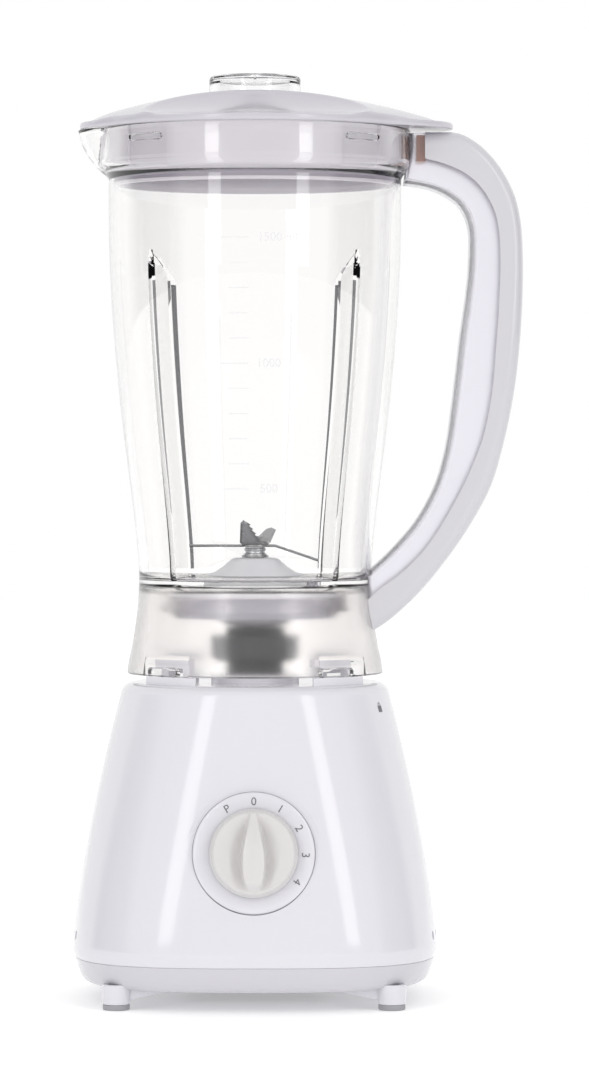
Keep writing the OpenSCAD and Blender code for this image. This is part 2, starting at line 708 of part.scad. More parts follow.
module dome_solid(drop, rim) {
    fractions = [1, 0.97, 0.88, 0.74, 0.58, 0.42, 0.26, 0.1];
    rings = [for (f = fractions) [for (i = [0:47]) let (a = i * 7.5, r = f * plan_r(a) * rim)
        [r * cos(a), r * sin(a), max(rim_z + 0.8, dome(r * cos(a), r * sin(a)) - drop)]]];
    foot = [for (i = [0:47]) let (a = i * 7.5, r = plan_r(a) * rim) [r * cos(a), r * sin(a), rim_z + 0.3]];
    skin(concat([foot], rings), 48);
}

module scoops(grow) {
    for (s = [-1, 1]) translate([0, s * 64, 463.1]) rotate([0, 90, 0])
        translate([0, 0, -100]) cylinder(r = 74 + grow, h = 200, $fn = 360);
}

// the cover of the lid, from its flange up
module lid() {
    color(white) difference() {
        union() {
            difference() {
                dome_solid(0, 1);
                scoops(0);
            }
            translate([0, 0, rim_z + 0.3]) cylinder(r = 69.4, h = 3, $fn = 128);
        }
        difference() {
            union() {
                translate([0, 0, 380]) cylinder(r = 63.4, h = 7.3, $fn = 128);
                intersection() {
                    difference() {
                        dome_solid(2.8, 0.94);
                        scoops(2.6);
                    }
                    translate([0, 0, 380]) cylinder(r = 63.4, h = 30, $fn = 128);
                }
            }
            translate([0, 0, 378]) cylinder(r = 23.6, h = 30, $fn = 96);
        }
        translate([0, 0, 370]) cylinder(r = cap_r - 2 + 0.35, h = 40, $fn = 96);
        translate([0, 0, 392]) cylinder(r = cap_r + 0.35, h = 20, $fn = 96);
    }
}

// the ring of the lid inside the jug's mouth, with channels for the jug's four tabs
module lid_plug() {
    color(white) difference() {
        union() {
            translate([0, 0, 368.6]) cylinder(r = 66, h = rim_z + 0.3 - 368.6, $fn = 128);
            translate([0, 0, 366.8]) cylinder(r1 = 62.4, r2 = 66, h = 1.9, $fn = 128);
            translate([0, 0, 361]) cylinder(r = 62.4, h = 6, $fn = 128);
        }
        translate([0, 0, 360]) cylinder(r = 59.8, h = 8, $fn = 128);
        translate([0, 0, 367.9]) cylinder(r1 = 59.8, r2 = 63.4, h = 2, $fn = 128);
        translate([0, 0, 369.8]) cylinder(r = 63.4, h = 17.5, $fn = 128);
        for (a = corners) jug_tab(64.8, 67, a, 10.2, 366, 21);
        translate([0, 0, 362.3]) difference() {
            cylinder(r = 70, h = 2.6, $fn = 128);
            translate([0, 0, -1]) cylinder(r = 61, h = 5, $fn = 128);
        }
    }
}

// the socket of the measuring cap, below the cover
module lid_well() {
    color(white) translate([0, 0, 378]) ring(cap_r - 2 + 0.35, 23.6, rim_z + 0.3 - 378);
}

module lid_seal() {
    color([0.80, 0.80, 0.82]) translate([0, 0, 362.4]) ring(61, 62.75, 2.4);
}

module measuring_cap() {
    color(clear) difference() {
        union() {
            translate([0, 0, 392.3]) cylinder(r = cap_r, h = cap_z - 394.3, $fn = 128);
            translate([0, 0, cap_z - 2]) cylinder(r1 = cap_r, r2 = cap_r - 0.8, h = 2, $fn = 128);
            translate([0, 0, 375]) cylinder(r1 = cap_r - 2.6, r2 = cap_r - 2, h = 17.4, $fn = 128);
        }
        translate([0, 0, 374]) cylinder(r1 = cap_r - 4.6, r2 = cap_r - 4, h = cap_z - 376.4, $fn = 128);
    }
}

base_housing();
base_lugs();
bottom_cover();
rubber_feet();
cover_screws();
cord_inlet_bush();
dial_plate();
rotary_switch();
switch_shaft();
control_dial();
lower_bracket();
upper_bracket();
lower_bearing();
upper_bearing();
motor_dampers();
motor_screws();
motor_stator();
field_coils();
brush_holders();
carbon_brushes();
brush_springs();
motor_shaft();
armature_core();
armature_windings();
commutator();
cooling_fan();
deck_seal();
drive_coupling();
interlock_switch();
interlock_spring();
interlock_plunger();
jug();
jug_skirt();
jug_handle();
handle_cover();
blade_seal();
blade_base();
blade_ring_nut();
blade_bushes();
shaft_seal();
blade_shaft();
driven_coupling();
thrust_washer();
blade_spacer();
lower_blade();
upper_blade();
blade_nut();
lid();
lid_plug();
lid_well();
lid_seal();
measuring_cap();
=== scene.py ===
import json
from math import atan2, cos, pi, radians, sin

import bmesh
import bpy
import numpy as np
from mathutils import Matrix, Vector


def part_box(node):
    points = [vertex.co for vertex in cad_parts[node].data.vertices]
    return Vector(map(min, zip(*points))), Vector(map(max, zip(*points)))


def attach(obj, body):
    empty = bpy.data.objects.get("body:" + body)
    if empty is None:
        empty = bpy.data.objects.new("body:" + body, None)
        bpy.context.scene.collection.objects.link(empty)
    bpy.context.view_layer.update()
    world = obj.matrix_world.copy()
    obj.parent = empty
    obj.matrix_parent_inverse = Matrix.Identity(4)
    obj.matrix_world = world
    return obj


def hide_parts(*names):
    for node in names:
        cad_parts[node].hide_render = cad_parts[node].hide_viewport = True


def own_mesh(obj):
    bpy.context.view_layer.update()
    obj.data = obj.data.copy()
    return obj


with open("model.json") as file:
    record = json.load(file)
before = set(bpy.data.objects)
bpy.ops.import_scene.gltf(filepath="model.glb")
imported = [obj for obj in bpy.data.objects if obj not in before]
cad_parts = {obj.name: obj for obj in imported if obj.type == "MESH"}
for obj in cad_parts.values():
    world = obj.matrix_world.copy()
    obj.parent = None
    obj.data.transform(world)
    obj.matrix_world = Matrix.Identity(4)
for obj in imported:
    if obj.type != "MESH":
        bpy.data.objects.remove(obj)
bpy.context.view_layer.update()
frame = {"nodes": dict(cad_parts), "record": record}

MM = 0.001
TURN = 2 * pi

# ---------- driving sizes
# Heights above the ground, from the seam of the base up to the cap.
seam_z = 20.0
wide_z = 23.5
deck_z = 140.5
pad_top = 144.0
skirt_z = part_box("jug_skirt")[0].z / MM
floor_z = 186.0
band_z = 364.0
rim_z = 386.0
crest_z = 402.7
cap_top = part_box("measuring_cap")[1].z / MM

# Walls, radii and gaps.
base_wall = 2.6
deck_edge = 4.2
seam_half, seam_chamfer = 0.03, 0.22
dial_hole_r = 26.72
jug_wall = 2.2
band_r = 69.4

# Places round the drive axis; corners holds the angles of the ribs, lugs and tabs, in degrees.
corners = [45, 135, 225, 315]
foot_x, foot_y = 60.0, 55.0
screw_x, screw_y = 50.0, 48.0
deck_screw = 36.0
inlet_x, inlet_z = -30.0, 34.0
press_y = 47.5
dial_height, dial_front = 69.5, 72.0
dial_tilt = radians(6)


# ---------- mesh building
def smooth(points, x):
    """A smooth curve through (position, value) points."""
    p = np.array(points, float)
    slope = np.gradient(p[:, 1], p[:, 0])
    x = np.clip(x, p[0, 0], p[-1, 0])
    i = np.clip(np.searchsorted(p[:, 0], x) - 1, 0, len(p) - 2)
    h = p[i + 1, 0] - p[i, 0]
    t = (x - p[i, 0]) / h
    a = (2 * t**3 - 3 * t**2 + 1) * p[i, 1] + (t**3 - 2 * t**2 + t) * h * slope[i]
    return a + (3 * t**2 - 2 * t**3) * p[i + 1, 1] + (t**3 - t**2) * h * slope[i + 1]


def soft_max(a, b, reach):
    """The larger of two heights, rounded over where they meet."""
    gap = np.clip(0.5 + 0.5 * (a - b) / reach, 0, 1)
    return b + (a - b) * gap + reach * gap * (1 - gap)


def soft_min(a, b, reach):
    """The smaller of two heights, rounded over where they meet."""
    return -soft_max(-a, -b, reach)


def step(low, high, x):
    """0 below low, 1 above high, a smooth rise between."""
    t = np.clip((x - low) / (high - low), 0, 1)
    return t * t * (3 - 2 * t)


def along(points, count):
    """count points spread evenly along a smooth line through a few points."""
    p = np.array(points, float)
    own = np.concatenate([[0], np.cumsum(np.linalg.norm(np.diff(p, axis=0), axis=1))])
    fine = np.linspace(0, own[-1], 40 * len(p))
    line = np.stack([smooth(np.stack([own, p[:, k]], 1), fine) for k in range(p.shape[1])], 1)
    far = np.concatenate([[0], np.cumsum(np.linalg.norm(np.diff(line, axis=0), axis=1))])
    even = np.linspace(0, far[-1], count)
    return np.stack([np.interp(even, far, line[:, k]) for k in range(p.shape[1])], 1)


def skin(rings, closed=False):
    """Points and faces of a skin over rings of equal length; closed joins the last ring to the first."""
    rings = np.asarray(rings, float)
    m, n = rings.shape[:2]
    faces = []
    for i in range(m if closed else m - 1):
        a, b = i * n, (i + 1) % m * n
        faces += [(a + j, a + (j + 1) % n, b + (j + 1) % n, b + j) for j in range(n)]
    if not closed:
        faces += [tuple(range(n - 1, -1, -1)), tuple((m - 1) * n + j for j in range(n))]
    return rings.reshape(-1, 3), faces


def add_object(name, data):
    """A new object in the scene."""
    obj = bpy.data.objects.new(name, data)
    bpy.context.scene.collection.objects.link(obj)
    return obj


def scratch(shape, name="scratch"):
    """A mesh object from points in millimetres and faces, not dressed yet."""
    points, faces = shape
    mesh = bpy.data.meshes.new(name)
    mesh.from_pydata((np.asarray(points) * MM).tolist(), [], faces)
    face_out(mesh)
    return add_object(name, mesh)


def face_out(mesh):
    """Turns all faces of a mesh outwards."""
    work = bmesh.new()
    work.from_mesh(mesh)
    bmesh.ops.recalc_face_normals(work, faces=work.faces)
    work.to_mesh(mesh)
    work.free()


def piece(name, shape, material, body, slot, replaced=(), sharp=35):
    """A new visible piece of the object."""
    obj = scratch(shape, name)
    obj.data.validate()
    return dress(obj, material, body, slot, replaced, sharp)


def dress(obj, material, body, slot, replaced=(), sharp=35):
    """Smoothing, material and place in the frame of a finished mesh."""
    mesh = obj.data
    face_out(mesh)
    mesh.materials.clear()
    mesh.materials.append(material)
    mesh.polygons.foreach_set("material_index", [0] * len(mesh.polygons))
    mesh.polygons.foreach_set("use_smooth", [True] * len(mesh.polygons))
    mesh.set_sharp_from_angle(angle=radians(sharp))
    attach(obj, body)
    if replaced:
        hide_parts(*replaced)
    return obj


def carve(obj, tools, how):
    """Cuts or joins scratch objects with obj, and removes them."""
    for tool in tools:
        change = obj.modifiers.new("carve", "BOOLEAN")
        change.operation = how
        change.solver = "EXACT"
        change.object = tool
    bpy.context.view_layer.update()
    view = bpy.context.evaluated_depsgraph_get()
    mesh = bpy.data.meshes.new_from_object(obj.evaluated_get(view))
    obj.modifiers.clear()
    obj.data = mesh
    for tool in tools:
        bpy.data.objects.remove(tool)
    return obj


def bevel(obj, width):
    """Rounds the edges of obj, width in millimetres."""
    change = obj.modifiers.new("bevel", "BEVEL")
    change.width = width * MM
    change.segments = 3
    change.limit_method = "ANGLE"
    change.angle_limit = radians(35)


def circle(radius, z, count):
    """Points round the axis at one radius and height."""
    angles = np.arange(count) * TURN / count
    return np.stack([radius * np.cos(angles), radius * np.sin(angles), np.full(count, z)], 1)


def polar(radius, angle, z):
    """A point at a radius, an angle in radians and a height."""
    return (radius * cos(angle), radius * sin(angle), z)


def ring_of(cosines, sines, r, z):
    """A ring round the axis; r and z are numbers or one value for each angle."""
    r = np.broadcast_to(np.asarray(r, float), cosines.shape)
    z = np.broadcast_to(np.asarray(z, float), cosines.shape)
    return np.stack([r * cosines, r * sines, z], 1)


def angles_round(pitch, offsets):
    """Angles in degrees, pitch apart, with more of them at offsets on both sides of the corners."""
    extra = [az + s * d for az in corners for s in (-1, 1) for d in offsets]
    return np.array(sorted(set(np.round(np.concatenate([np.arange(0, 360, pitch), extra]), 3))))


def from_corner(angles):
    """Degrees from each angle to the nearest corner."""
    return np.min([np.abs((angles - az + 180) % 360 - 180) for az in corners], 0)


def turned(profile, count=128, round_by=0.0):
    """A closed profile of (radius, height) points turned about Z; corners can be rounded."""
    line = rounded(profile, round_by) if round_by else np.array(profile, float)
    return skin([circle(r, z, count) for r, z in line], closed=True)


def tube(r_in, r_out, low, high, count, round_by=0.0):
    """A round tube on the axis from low to high."""
    return turned([(r_in, low), (r_out, low), (r_out, high), (r_in, high)], count, round_by)


def rounded(profile, radius, steps=4):
    """A closed 2D profile with its corners rounded."""
    p = np.array(profile, float)
    out = []
    for before, here, after in zip(np.roll(p, 1, 0), p, np.roll(p, -1, 0)):
        back, forth = before - here, after - here
        cut = min(radius, 0.42 * np.linalg.norm(back), 0.42 * np.linalg.norm(forth))
        a = here + back / np.linalg.norm(back) * cut
        b = here + forth / np.linalg.norm(forth) * cut
        for t in np.linspace(0, 1, steps + 1):
            out.append((1 - t) ** 2 * a + 2 * t * (1 - t) * here + t * t * b)
    return np.array(out)


def moved(shape, matrix):
    """A shape turned and shifted by a matrix."""
    points, faces = shape
    return np.asarray(points) @ np.array(matrix.to_3x3()).T + np.array(matrix.translation), faces


def joined(*shapes):
    """Several shapes as one."""
    points, faces, base = [], [], 0
    for p, f in shapes:
        points.append(np.asarray(p, float))
        faces += [tuple(i + base for i in face) for face in f]
        base += len(p)
    return np.concatenate(points), faces


def at_four(shape, x, y):
    """Four copies of a shape, x and y away from the axis on both sides."""
    places = [(-x, -y), (-x, y), (x, -y), (x, y)]
    return joined(*[moved(shape, Matrix.Translation((px, py, 0))) for px, py in places])


def lettering(text, size):
    """Flat letters, centred, as points and faces in the XY plane with a hair of thickness."""
    curve = bpy.data.curves.new("letters", "FONT")
    curve.body = text
    curve.size = size
    curve.align_x = "CENTER"
    curve.align_y = "CENTER"
    curve.extrude = 0.05
    curve.resolution_u = 6
    obj = add_object("letters", curve)
    bpy.context.view_layer.update()
    mesh = bpy.data.meshes.new_from_object(obj.evaluated_get(bpy.context.evaluated_depsgraph_get()))
    points = [tuple(v.co) for v in mesh.vertices]
    faces = [tuple(f.vertices) for f in mesh.polygons]
    bpy.data.objects.remove(obj)
    bpy.data.meshes.remove(mesh)
    return np.array(points), faces


# ---------- materials
def fill(made, **values):
    """Sets inputs of a node; an underscore in a name stands for a space."""
    for name, value in values.items():
        made.inputs[name.replace("_", " ")].default_value = value
    return made


def node(tree, kind, **values):
    """A new node with its inputs set."""
    return fill(tree.nodes.new(kind), **values)


def new_material(name):
    """A material with its node tree and its Principled BSDF."""
    material = bpy.data.materials.new(name)
    material.use_nodes = True
    return material, material.node_tree, material.node_tree.nodes["Principled BSDF"]


def noise(tree, scale, detail=3.0):
    """A noise pattern fixed to the piece."""
    place = tree.nodes.new("ShaderNodeTexCoord")
    pattern = node(tree, "ShaderNodeTexNoise", Scale=scale, Detail=detail)
    tree.links.new(place.outputs["Object"], pattern.inputs["Vector"])
    return pattern.outputs["Fac"]


def spread(tree, source, low, high, start=0.3, end=0.7):
    """Source, from start to end, as a number from low to high."""
    span = node(tree, "ShaderNodeMapRange", From_Min=start, From_Max=end, To_Min=low, To_Max=high)
    tree.links.new(source, span.inputs["Value"])
    return span.outputs["Result"]


def blend_colours(tree, share, first, second):
    """The first colour where share is 0 and the second where it is 1."""
    mix = tree.nodes.new("ShaderNodeMix")
    mix.data_type = "RGBA"
    tree.links.new(share, mix.inputs[0])
    mix.inputs[6].default_value = (*first, 1)
    mix.inputs[7].default_value = (*second, 1)
    return mix.outputs[2]


def relief(tree, bsdf, source, depth, strength=1.0):
    """Fine relief from a pattern, depth in metres."""
    bump = node(tree, "ShaderNodeBump", Strength=strength, Distance=depth)
    tree.links.new(source, bump.inputs["Height"])
    tree.links.new(bump.outputs["Normal"], bsdf.inputs["Normal"])


def solid(name, colour, rough, tone=0.03, grain=900, depth=0.00002, metal=0.0, coat=0.0):
    """An opaque material: a slow drift of tone, uneven roughness, and a fine moulded or ground grain."""
    material, tree, bsdf = new_material(name)
    darker = [c * (1 - tone) for c in colour]
    drift = noise(tree, 14, 2)
    tree.links.new(blend_colours(tree, drift, darker, colour), bsdf.inputs["Base Color"])
    tree.links.new(spread(tree, noise(tree, 60), rough * 0.85, rough * 1.15), bsdf.inputs["Roughness"])
    relief(tree, bsdf, noise(tree, grain, 2), depth, 0.4)
    fill(bsdf, Metallic=metal, Coat_Weight=coat, Coat_Roughness=0.06)
    return material


def ground_steel(name, colour, rough):
    """Steel with fine grinding lines across it."""
    material = solid(name, colour, rough, tone=0.12, metal=1.0)
    tree = material.node_tree
    bsdf = tree.nodes["Principled BSDF"]
    place = tree.nodes.new("ShaderNodeTexCoord")
    squeeze = tree.nodes.new("ShaderNodeMapping")
    squeeze.inputs["Scale"].default_value = (60, 2500, 60)
    pattern = node(tree, "ShaderNodeTexNoise", Scale=1.0, Detail=3.0)
    tree.links.new(place.outputs["Object"], squeeze.inputs["Vector"])
    tree.links.new(squeeze.outputs["Vector"], pattern.inputs["Vector"])
    relief(tree, bsdf, pattern.outputs["Fac"], 0.00003, 0.5)
    return material


def maths(tree, operation, *values):
    """One step of arithmetic; values are numbers or outputs of nodes."""
    made = tree.nodes.new("ShaderNodeMath")
    made.operation = operation
    for socket, value in zip(made.inputs, values):
        if isinstance(value, (int, float)):
            socket.default_value = value
        else:
            tree.links.new(value, socket)
    return made.outputs[0]


def frost_share(tree, top):
    """1 on the frosted skirt below top, in metres, and 0 above it and in its clear windows at the corners."""
    place = tree.nodes.new("ShaderNodeTexCoord")
    axes = tree.nodes.new("ShaderNodeSeparateXYZ")
    tree.links.new(place.outputs["Object"], axes.inputs["Vector"])
    x, y, z = axes.outputs
    window_edge, window_top = (0.434, 0.440), (0.1518, 0.1524)
    squares = maths(tree, "ADD", maths(tree, "MULTIPLY", x, x), maths(tree, "MULTIPLY", y, y))
    corner = maths(tree, "DIVIDE", maths(tree, "ABSOLUTE", maths(tree, "MULTIPLY", x, y)), squares)
    beside = spread(tree, corner, 1, 0, *window_edge)
    over = spread(tree, z, 0, 1, *window_top)
    skirt = spread(tree, z, 1, 0, top - 0.0006, top + 0.0002)
    return maths(tree, "MULTIPLY", skirt, maths(tree, "MAXIMUM", beside, over))


def clear_plastic(name, colour, frost_below=None, frost=0.18, index=1.5, haze=0.0):
    """Clear moulded plastic, hazy all over, or frosted only below frost_below, in metres, where a warm tint
    stands for painted warm light.
    """
    material, tree, bsdf = new_material(name)
    fill(bsdf, Transmission_Weight=1.0, IOR=index)
    clean = spread(tree, noise(tree, 40), 0.0, 0.02)
    if frost_below is None:
        fill(bsdf, Base_Color=(*colour, 1))
        rough = maths(tree, "ADD", clean, haze)
    else:
        frosted = frost_share(tree, frost_below)
        # The frosted part is tinted warm as painted warm light.
        tinted = blend_colours(tree, frosted, colour, warm_light_tint)
        tree.links.new(tinted, bsdf.inputs["Base Color"])
        rough = maths(tree, "MULTIPLY_ADD", frosted, frost, clean)
    tree.links.new(rough, bsdf.inputs["Roughness"])
    relief(tree, bsdf, noise(tree, 25, 1), 0.0002, 0.15)
    let_light_through(tree, bsdf, colour)
    return material


def let_light_through(tree, bsdf, colour):
    """Light from lamps and from other surfaces reaches what stands behind the plastic."""
    path = tree.nodes.new("ShaderNodeLightPath")
    share = maths(tree, "MAXIMUM", path.outputs["Is Shadow Ray"], path.outputs["Is Diffuse Ray"])
    passing = node(tree, "ShaderNodeBsdfTransparent", Color=(*colour, 1))
    mix = tree.nodes.new("ShaderNodeMixShader")
    tree.links.new(share, mix.inputs[0])
    tree.links.new(bsdf.outputs[0], mix.inputs[1])
    tree.links.new(passing.outputs[0], mix.inputs[2])
    tree.links.new(mix.outputs[0], tree.nodes["Material Output"].inputs["Surface"])


# Warm tint of the frosted skirt: painted warm light.
warm_light_tint = (0.995, 0.975, 0.965)
frost_top = 0.1838

white = solid("white_plastic", (0.755, 0.745, 0.79), 0.12, coat=0.35)
# The lid's white plastic, made darker than the base's as painted shade.
lid_shaded_white = solid("lid_shaded_plastic", (0.585, 0.565, 0.615), 0.22, coat=0.35)
# The handle back's white plastic, greyed as painted shade.
handle_shaded_white = solid("handle_shaded_plastic", (0.615, 0.605, 0.635), 0.16, coat=0.35)
# The bottom cover's white plastic, darkened as painted shade under the housing.
cover_shaded_white = solid("cover_shaded_plastic", (0.63, 0.62, 0.66), 0.14, coat=0.3)
knob_white = solid("knob_plastic", (0.70, 0.685, 0.675), 0.32, coat=0.1)
grey = solid("grey_plastic", (0.70, 0.70, 0.74), 0.4)
black = solid("black_plastic", (0.03, 0.03, 0.033), 0.45, grain=1400)
rubber = solid("black_rubber", (0.035, 0.035, 0.04), 0.6, grain=1800, depth=0.00004)
foot_rubber = solid("grey_rubber", (0.36, 0.36, 0.38), 0.6, grain=1800, depth=0.00004)
seal_rubber = solid("seal_rubber", (0.27, 0.25, 0.30), 0.55)
zinc = solid("zinc_steel", (0.60, 0.61, 0.63), 0.35, tone=0.1, metal=1.0)
iron = solid("core_iron", (0.16, 0.165, 0.18), 0.5, tone=0.15, metal=0.6)
copper = solid("copper_wire", (0.50, 0.20, 0.08), 0.35, tone=0.25, grain=2500, metal=0.7, coat=0.5)
bronze = solid("bronze", (0.45, 0.33, 0.15), 0.45, tone=0.1, metal=0.9)
steel = ground_steel("blade_steel", (0.30, 0.30, 0.31), 0.28)
print_grey = solid("print_grey", (0.16, 0.155, 0.17), 0.5)
scale_grey = solid("scale_grey", (0.80, 0.79, 0.80), 0.5)
# Brown of the handle's tongue: painted warm shade on white plastic, seen through the clear channel.
shade_brown_tongue = solid("tongue_shade", (0.42, 0.24, 0.17), 0.5)
glass = clear_plastic("clear_plastic", (1.0, 0.995, 0.99), frost_below=frost_top)
cap_clear = clear_plastic("clear_cap", (1.0, 1.0, 1.0))
handle_clear = clear_plastic("clear_handle", (0.925, 0.915, 0.95), index=1.45, haze=0.24)

# Material, body and slot of the pieces that share them.
on_base = (white, "base", "white_plastic")
clear_on_jug = (cap_clear, "jug_body", "clear_plastic")
on_blades = (steel, "blades", "blade_steel")

slot_materials = {
    "white_plastic": white, "knob_plastic": knob_white, "grey_plastic": grey,
    "black_plastic": black, "clear_plastic": glass, "black_rubber": rubber,
    "grey_rubber": foot_rubber, "seal_rubber": seal_rubber, "zinc_steel": zinc,
    "blade_steel": steel, "core_iron": iron, "copper_wire": copper, "bronze": bronze,
}
for part in frame["record"]["subparts"]:
    shown = frame["nodes"][part["node"]].data
    shown.materials.clear()
    shown.materials.append(slot_materials[part["material_slot"]])


# ---------- base
base_angles = np.arange(288) * TURN / 288
foot_taper = 0.28


def base_share(z):
    """How much of its spread the base has at a height: 1 at its widest, 0 at the deck."""
    return 1 - np.clip((z - wide_z) / (deck_z - wide_z), 0, 1) ** 1.4


def half_width(z):
    """Half of the base's width along X."""
    return 58.5 + 22.5 * base_share(z) - foot_taper * max(0, wide_z - z)


def half_depth(z):
    """Half of the base's depth along Y."""
    return 56.0 + 21.0 * base_share(z) - foot_taper * max(0, wide_z - z)


def base_radius(z, inset):
    """Distance of the wall from the axis at each angle: a rounded square, squarer than an ellipse."""
    a, b = half_width(z) - inset, half_depth(z) - inset
    x, y = np.abs(np.cos(base_angles)) / a, np.abs(np.sin(base_angles)) / b
    power = 2.9 - 0.7 * np.clip((z - wide_z) / (deck_z - wide_z), 0, 1)
    return (x**power + y**power) ** (-1 / power)


def base_ring(z, inset, pull=0.0, hole=11.0):
    """A ring of the base; pull draws it in from the wall to a round hole."""
    r = base_radius(z, inset) * (1 - pull) + hole * pull
    return ring_of(np.cos(base_angles), np.sin(base_angles), r, z)


def housing_shape():
    """The housing: its wall, round top edge and deck, and the inside back down to the seam."""
    heights = np.concatenate([[seam_z + 0.25], np.linspace(seam_z + 0.8, deck_z - deck_edge, 40)])
    walls = [base_ring(seam_z + seam_half, seam_chamfer)] + [base_ring(z, 0) for z in heights]
    edge = []
    for t in np.linspace(0.1, pi / 2, 9):
        z = deck_z - deck_edge + deck_edge * sin(t)
        edge.append(base_ring(z, deck_edge - deck_edge * cos(t)))
    deck = [base_ring(deck_z, deck_edge, p) for p in np.linspace(0.06, 1, 10)]
    under = [base_ring(deck_z - 3, deck_edge, p) for p in np.linspace(1, 0, 8)]
    inside = [base_ring(z, base_wall) for z in np.linspace(deck_z - 7, seam_z + seam_half, 14)]
    return skin(walls + edge + deck + under + inside, closed=True)


def rod(a, b, radius, count=96):
    """A round rod from a to b, for cutting."""
    a, b = Vector(a), Vector(b)
    turn = (b - a).to_track_quat("Z", "Y").to_matrix().to_4x4()
    ends = [circle(radius, z, count) for z in (0, (b - a).length)]
    return moved(skin(ends), Matrix.Translation(a) @ turn)


dial_out = Vector((0, -cos(dial_tilt), sin(dial_tilt)))
dial_up = Vector((0, sin(dial_tilt), cos(dial_tilt)))
dial_centre = Vector((0, -dial_front, dial_height))
dial_axes = Matrix((Vector((1, 0, 0)), dial_up, dial_out)).transposed()
dial_frame = Matrix.Translation(dial_centre) @ dial_axes.to_4x4()


def air_holes():
    """Cutters for the row of six holes low on each side."""
    holes = []
    for side in (-1, 1):
        for y in range(-30, 31, 12):
            holes.append(rod((side * 60, y, 30), (side * 95, y, 30), 2, 32))
    return joined(*holes)


def make_housing():
    """The housing with its openings, and the bosses, collars and screw posts moulded to it."""
    shell = scratch(housing_shape())
    dial_hole = rod(dial_centre - dial_out * 25, dial_centre + dial_out * 20, dial_hole_r, 128)
    inlet_hole = rod((inlet_x, 60, inlet_z), (inlet_x, 90, inlet_z), 6.5)
    press_hole = rod((0, press_y, 130), (0, press_y, 150), 2.4, 32)
    cuts = [scratch(cut) for cut in (dial_hole, air_holes(), inlet_hole, press_hole)]
    carve(shell, cuts, "DIFFERENCE")
    shell.name = "housing_shell"
    dress(shell, *on_base, ["base_housing"], sharp=28)

    to_back = Matrix.Translation((inlet_x, 0, inlet_z)) @ Matrix.Rotation(-pi / 2, 4, "X")
    boss = moved(tube(6.5, 11, 68, 78.2, 96, 0.5), to_back)
    piece("inlet_boss", boss, *on_base)
    collar = moved(tube(dial_hole_r, 29.3, -12, -3.5, 128), dial_frame)
    piece("dial_collar", collar, *on_base)
    step_z, low = 142, 139
    ring = [(11, low), (19.6, low), (19.6, pad_top), (13.2, pad_top), (13.2, step_z), (11, step_z)]
    piece("deck_ring", turned(ring, 128, 0.6), *on_base)
    upper = at_four(tube(1.9, 5.5, 112, 138, 48, 0.4), deck_screw, deck_screw)
    lower = at_four(tube(1.6, 5, seam_z + 0.2, 54, 48, 0.4), screw_x, screw_y)
    piece("housing_posts", joined(upper, lower), *on_base)


def make_press_spring():
    """The coil under the plunger."""
    low, high, coil_r, wire_r, coils = 129.8, 133.9, 1.85, 0.32, 3.5
    around = np.arange(12) * TURN / 12
    rings = []
    for share in np.linspace(0, 1, 90):
        turn = share * coils * TURN
        r = coil_r + wire_r * np.cos(around)
        z = low + wire_r + (high - low - 2 * wire_r) * share + wire_r * np.sin(around)
        rings.append(np.stack([r * cos(turn), press_y + r * sin(turn), z], 1))
    spring = piece("press_spring", skin(rings), zinc, "base", "zinc_steel", ["interlock_spring"])
    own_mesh(spring)


def make_padlock():
    """A small closed padlock printed high on the right of the housing."""
    middle_az = atan2(-29.5, 55.2) + TURN
    middle_z, wall_r = 130, 62.0
    foot, top, half = -1.6, 1.2, 1.7
    shackle = [(1.15 * cos(t), top + 1.5 * sin(t)) for t in np.linspace(0, pi, 13)]
    hollow = [(0.7 * cos(t), top + 1.05 * sin(t)) for t in np.linspace(pi, 0, 13)]
    body = [(-half, foot), (half, foot), (half, top), (-half, top)]
    marks = []
    for outline in (body, shackle + hollow):
        rings = []
        for lift in (0.02, 0.08):
            ring = []
            for x, up in outline:
                angle = middle_az + x / wall_r
                wall = float(np.interp(angle, base_angles, base_radius(middle_z + up, 0)))
                ring.append(polar(wall + lift, angle, middle_z + up))
            rings.append(ring)
        marks.append(skin(rings))
    piece("padlock_mark", joined(*marks), print_grey, "base", "white_plastic")


def block(low, high):
    """A box with shared corners."""
    (x0, y0, z0), (x1, y1, z1) = low, high
    rings = [[(x0, y0, z), (x1, y0, z), (x1, y1, z), (x0, y1, z)] for z in (z0, z1)]
    return skin(rings)


def prism(outline, low, high):
    """An outline in XY raised from low to high."""
    return skin([[(x, y, z) for x, y in outline] for z in (low, high)])


def arc(radius, start, end, count=16):
    """Points on an arc, degrees."""
    t = np.radians(np.linspace(start, end, count))
    return np.stack([radius * np.cos(t), radius * np.sin(t)], 1)


def pad_outline(az):
    """A corner pad of the deck: a square, round on its outer corner and hollow on its inner one."""
    angle = radians(az - 45)
    turn = np.array([[cos(angle), -sin(angle)], [sin(angle), cos(angle)]])
    near, far, notch = 25.9, 47.8, 29.3
    outer = [tuple(p) for p in arc(54.4, 28.4, 61.6, 12)]
    inner = [tuple(p) for p in arc(39.1, 48.5, 41.5, 5)]
    edge = [(notch, near), (far, near)] + outer + [(near, far), (near, notch)] + inner
    return np.array(edge) @ turn.T


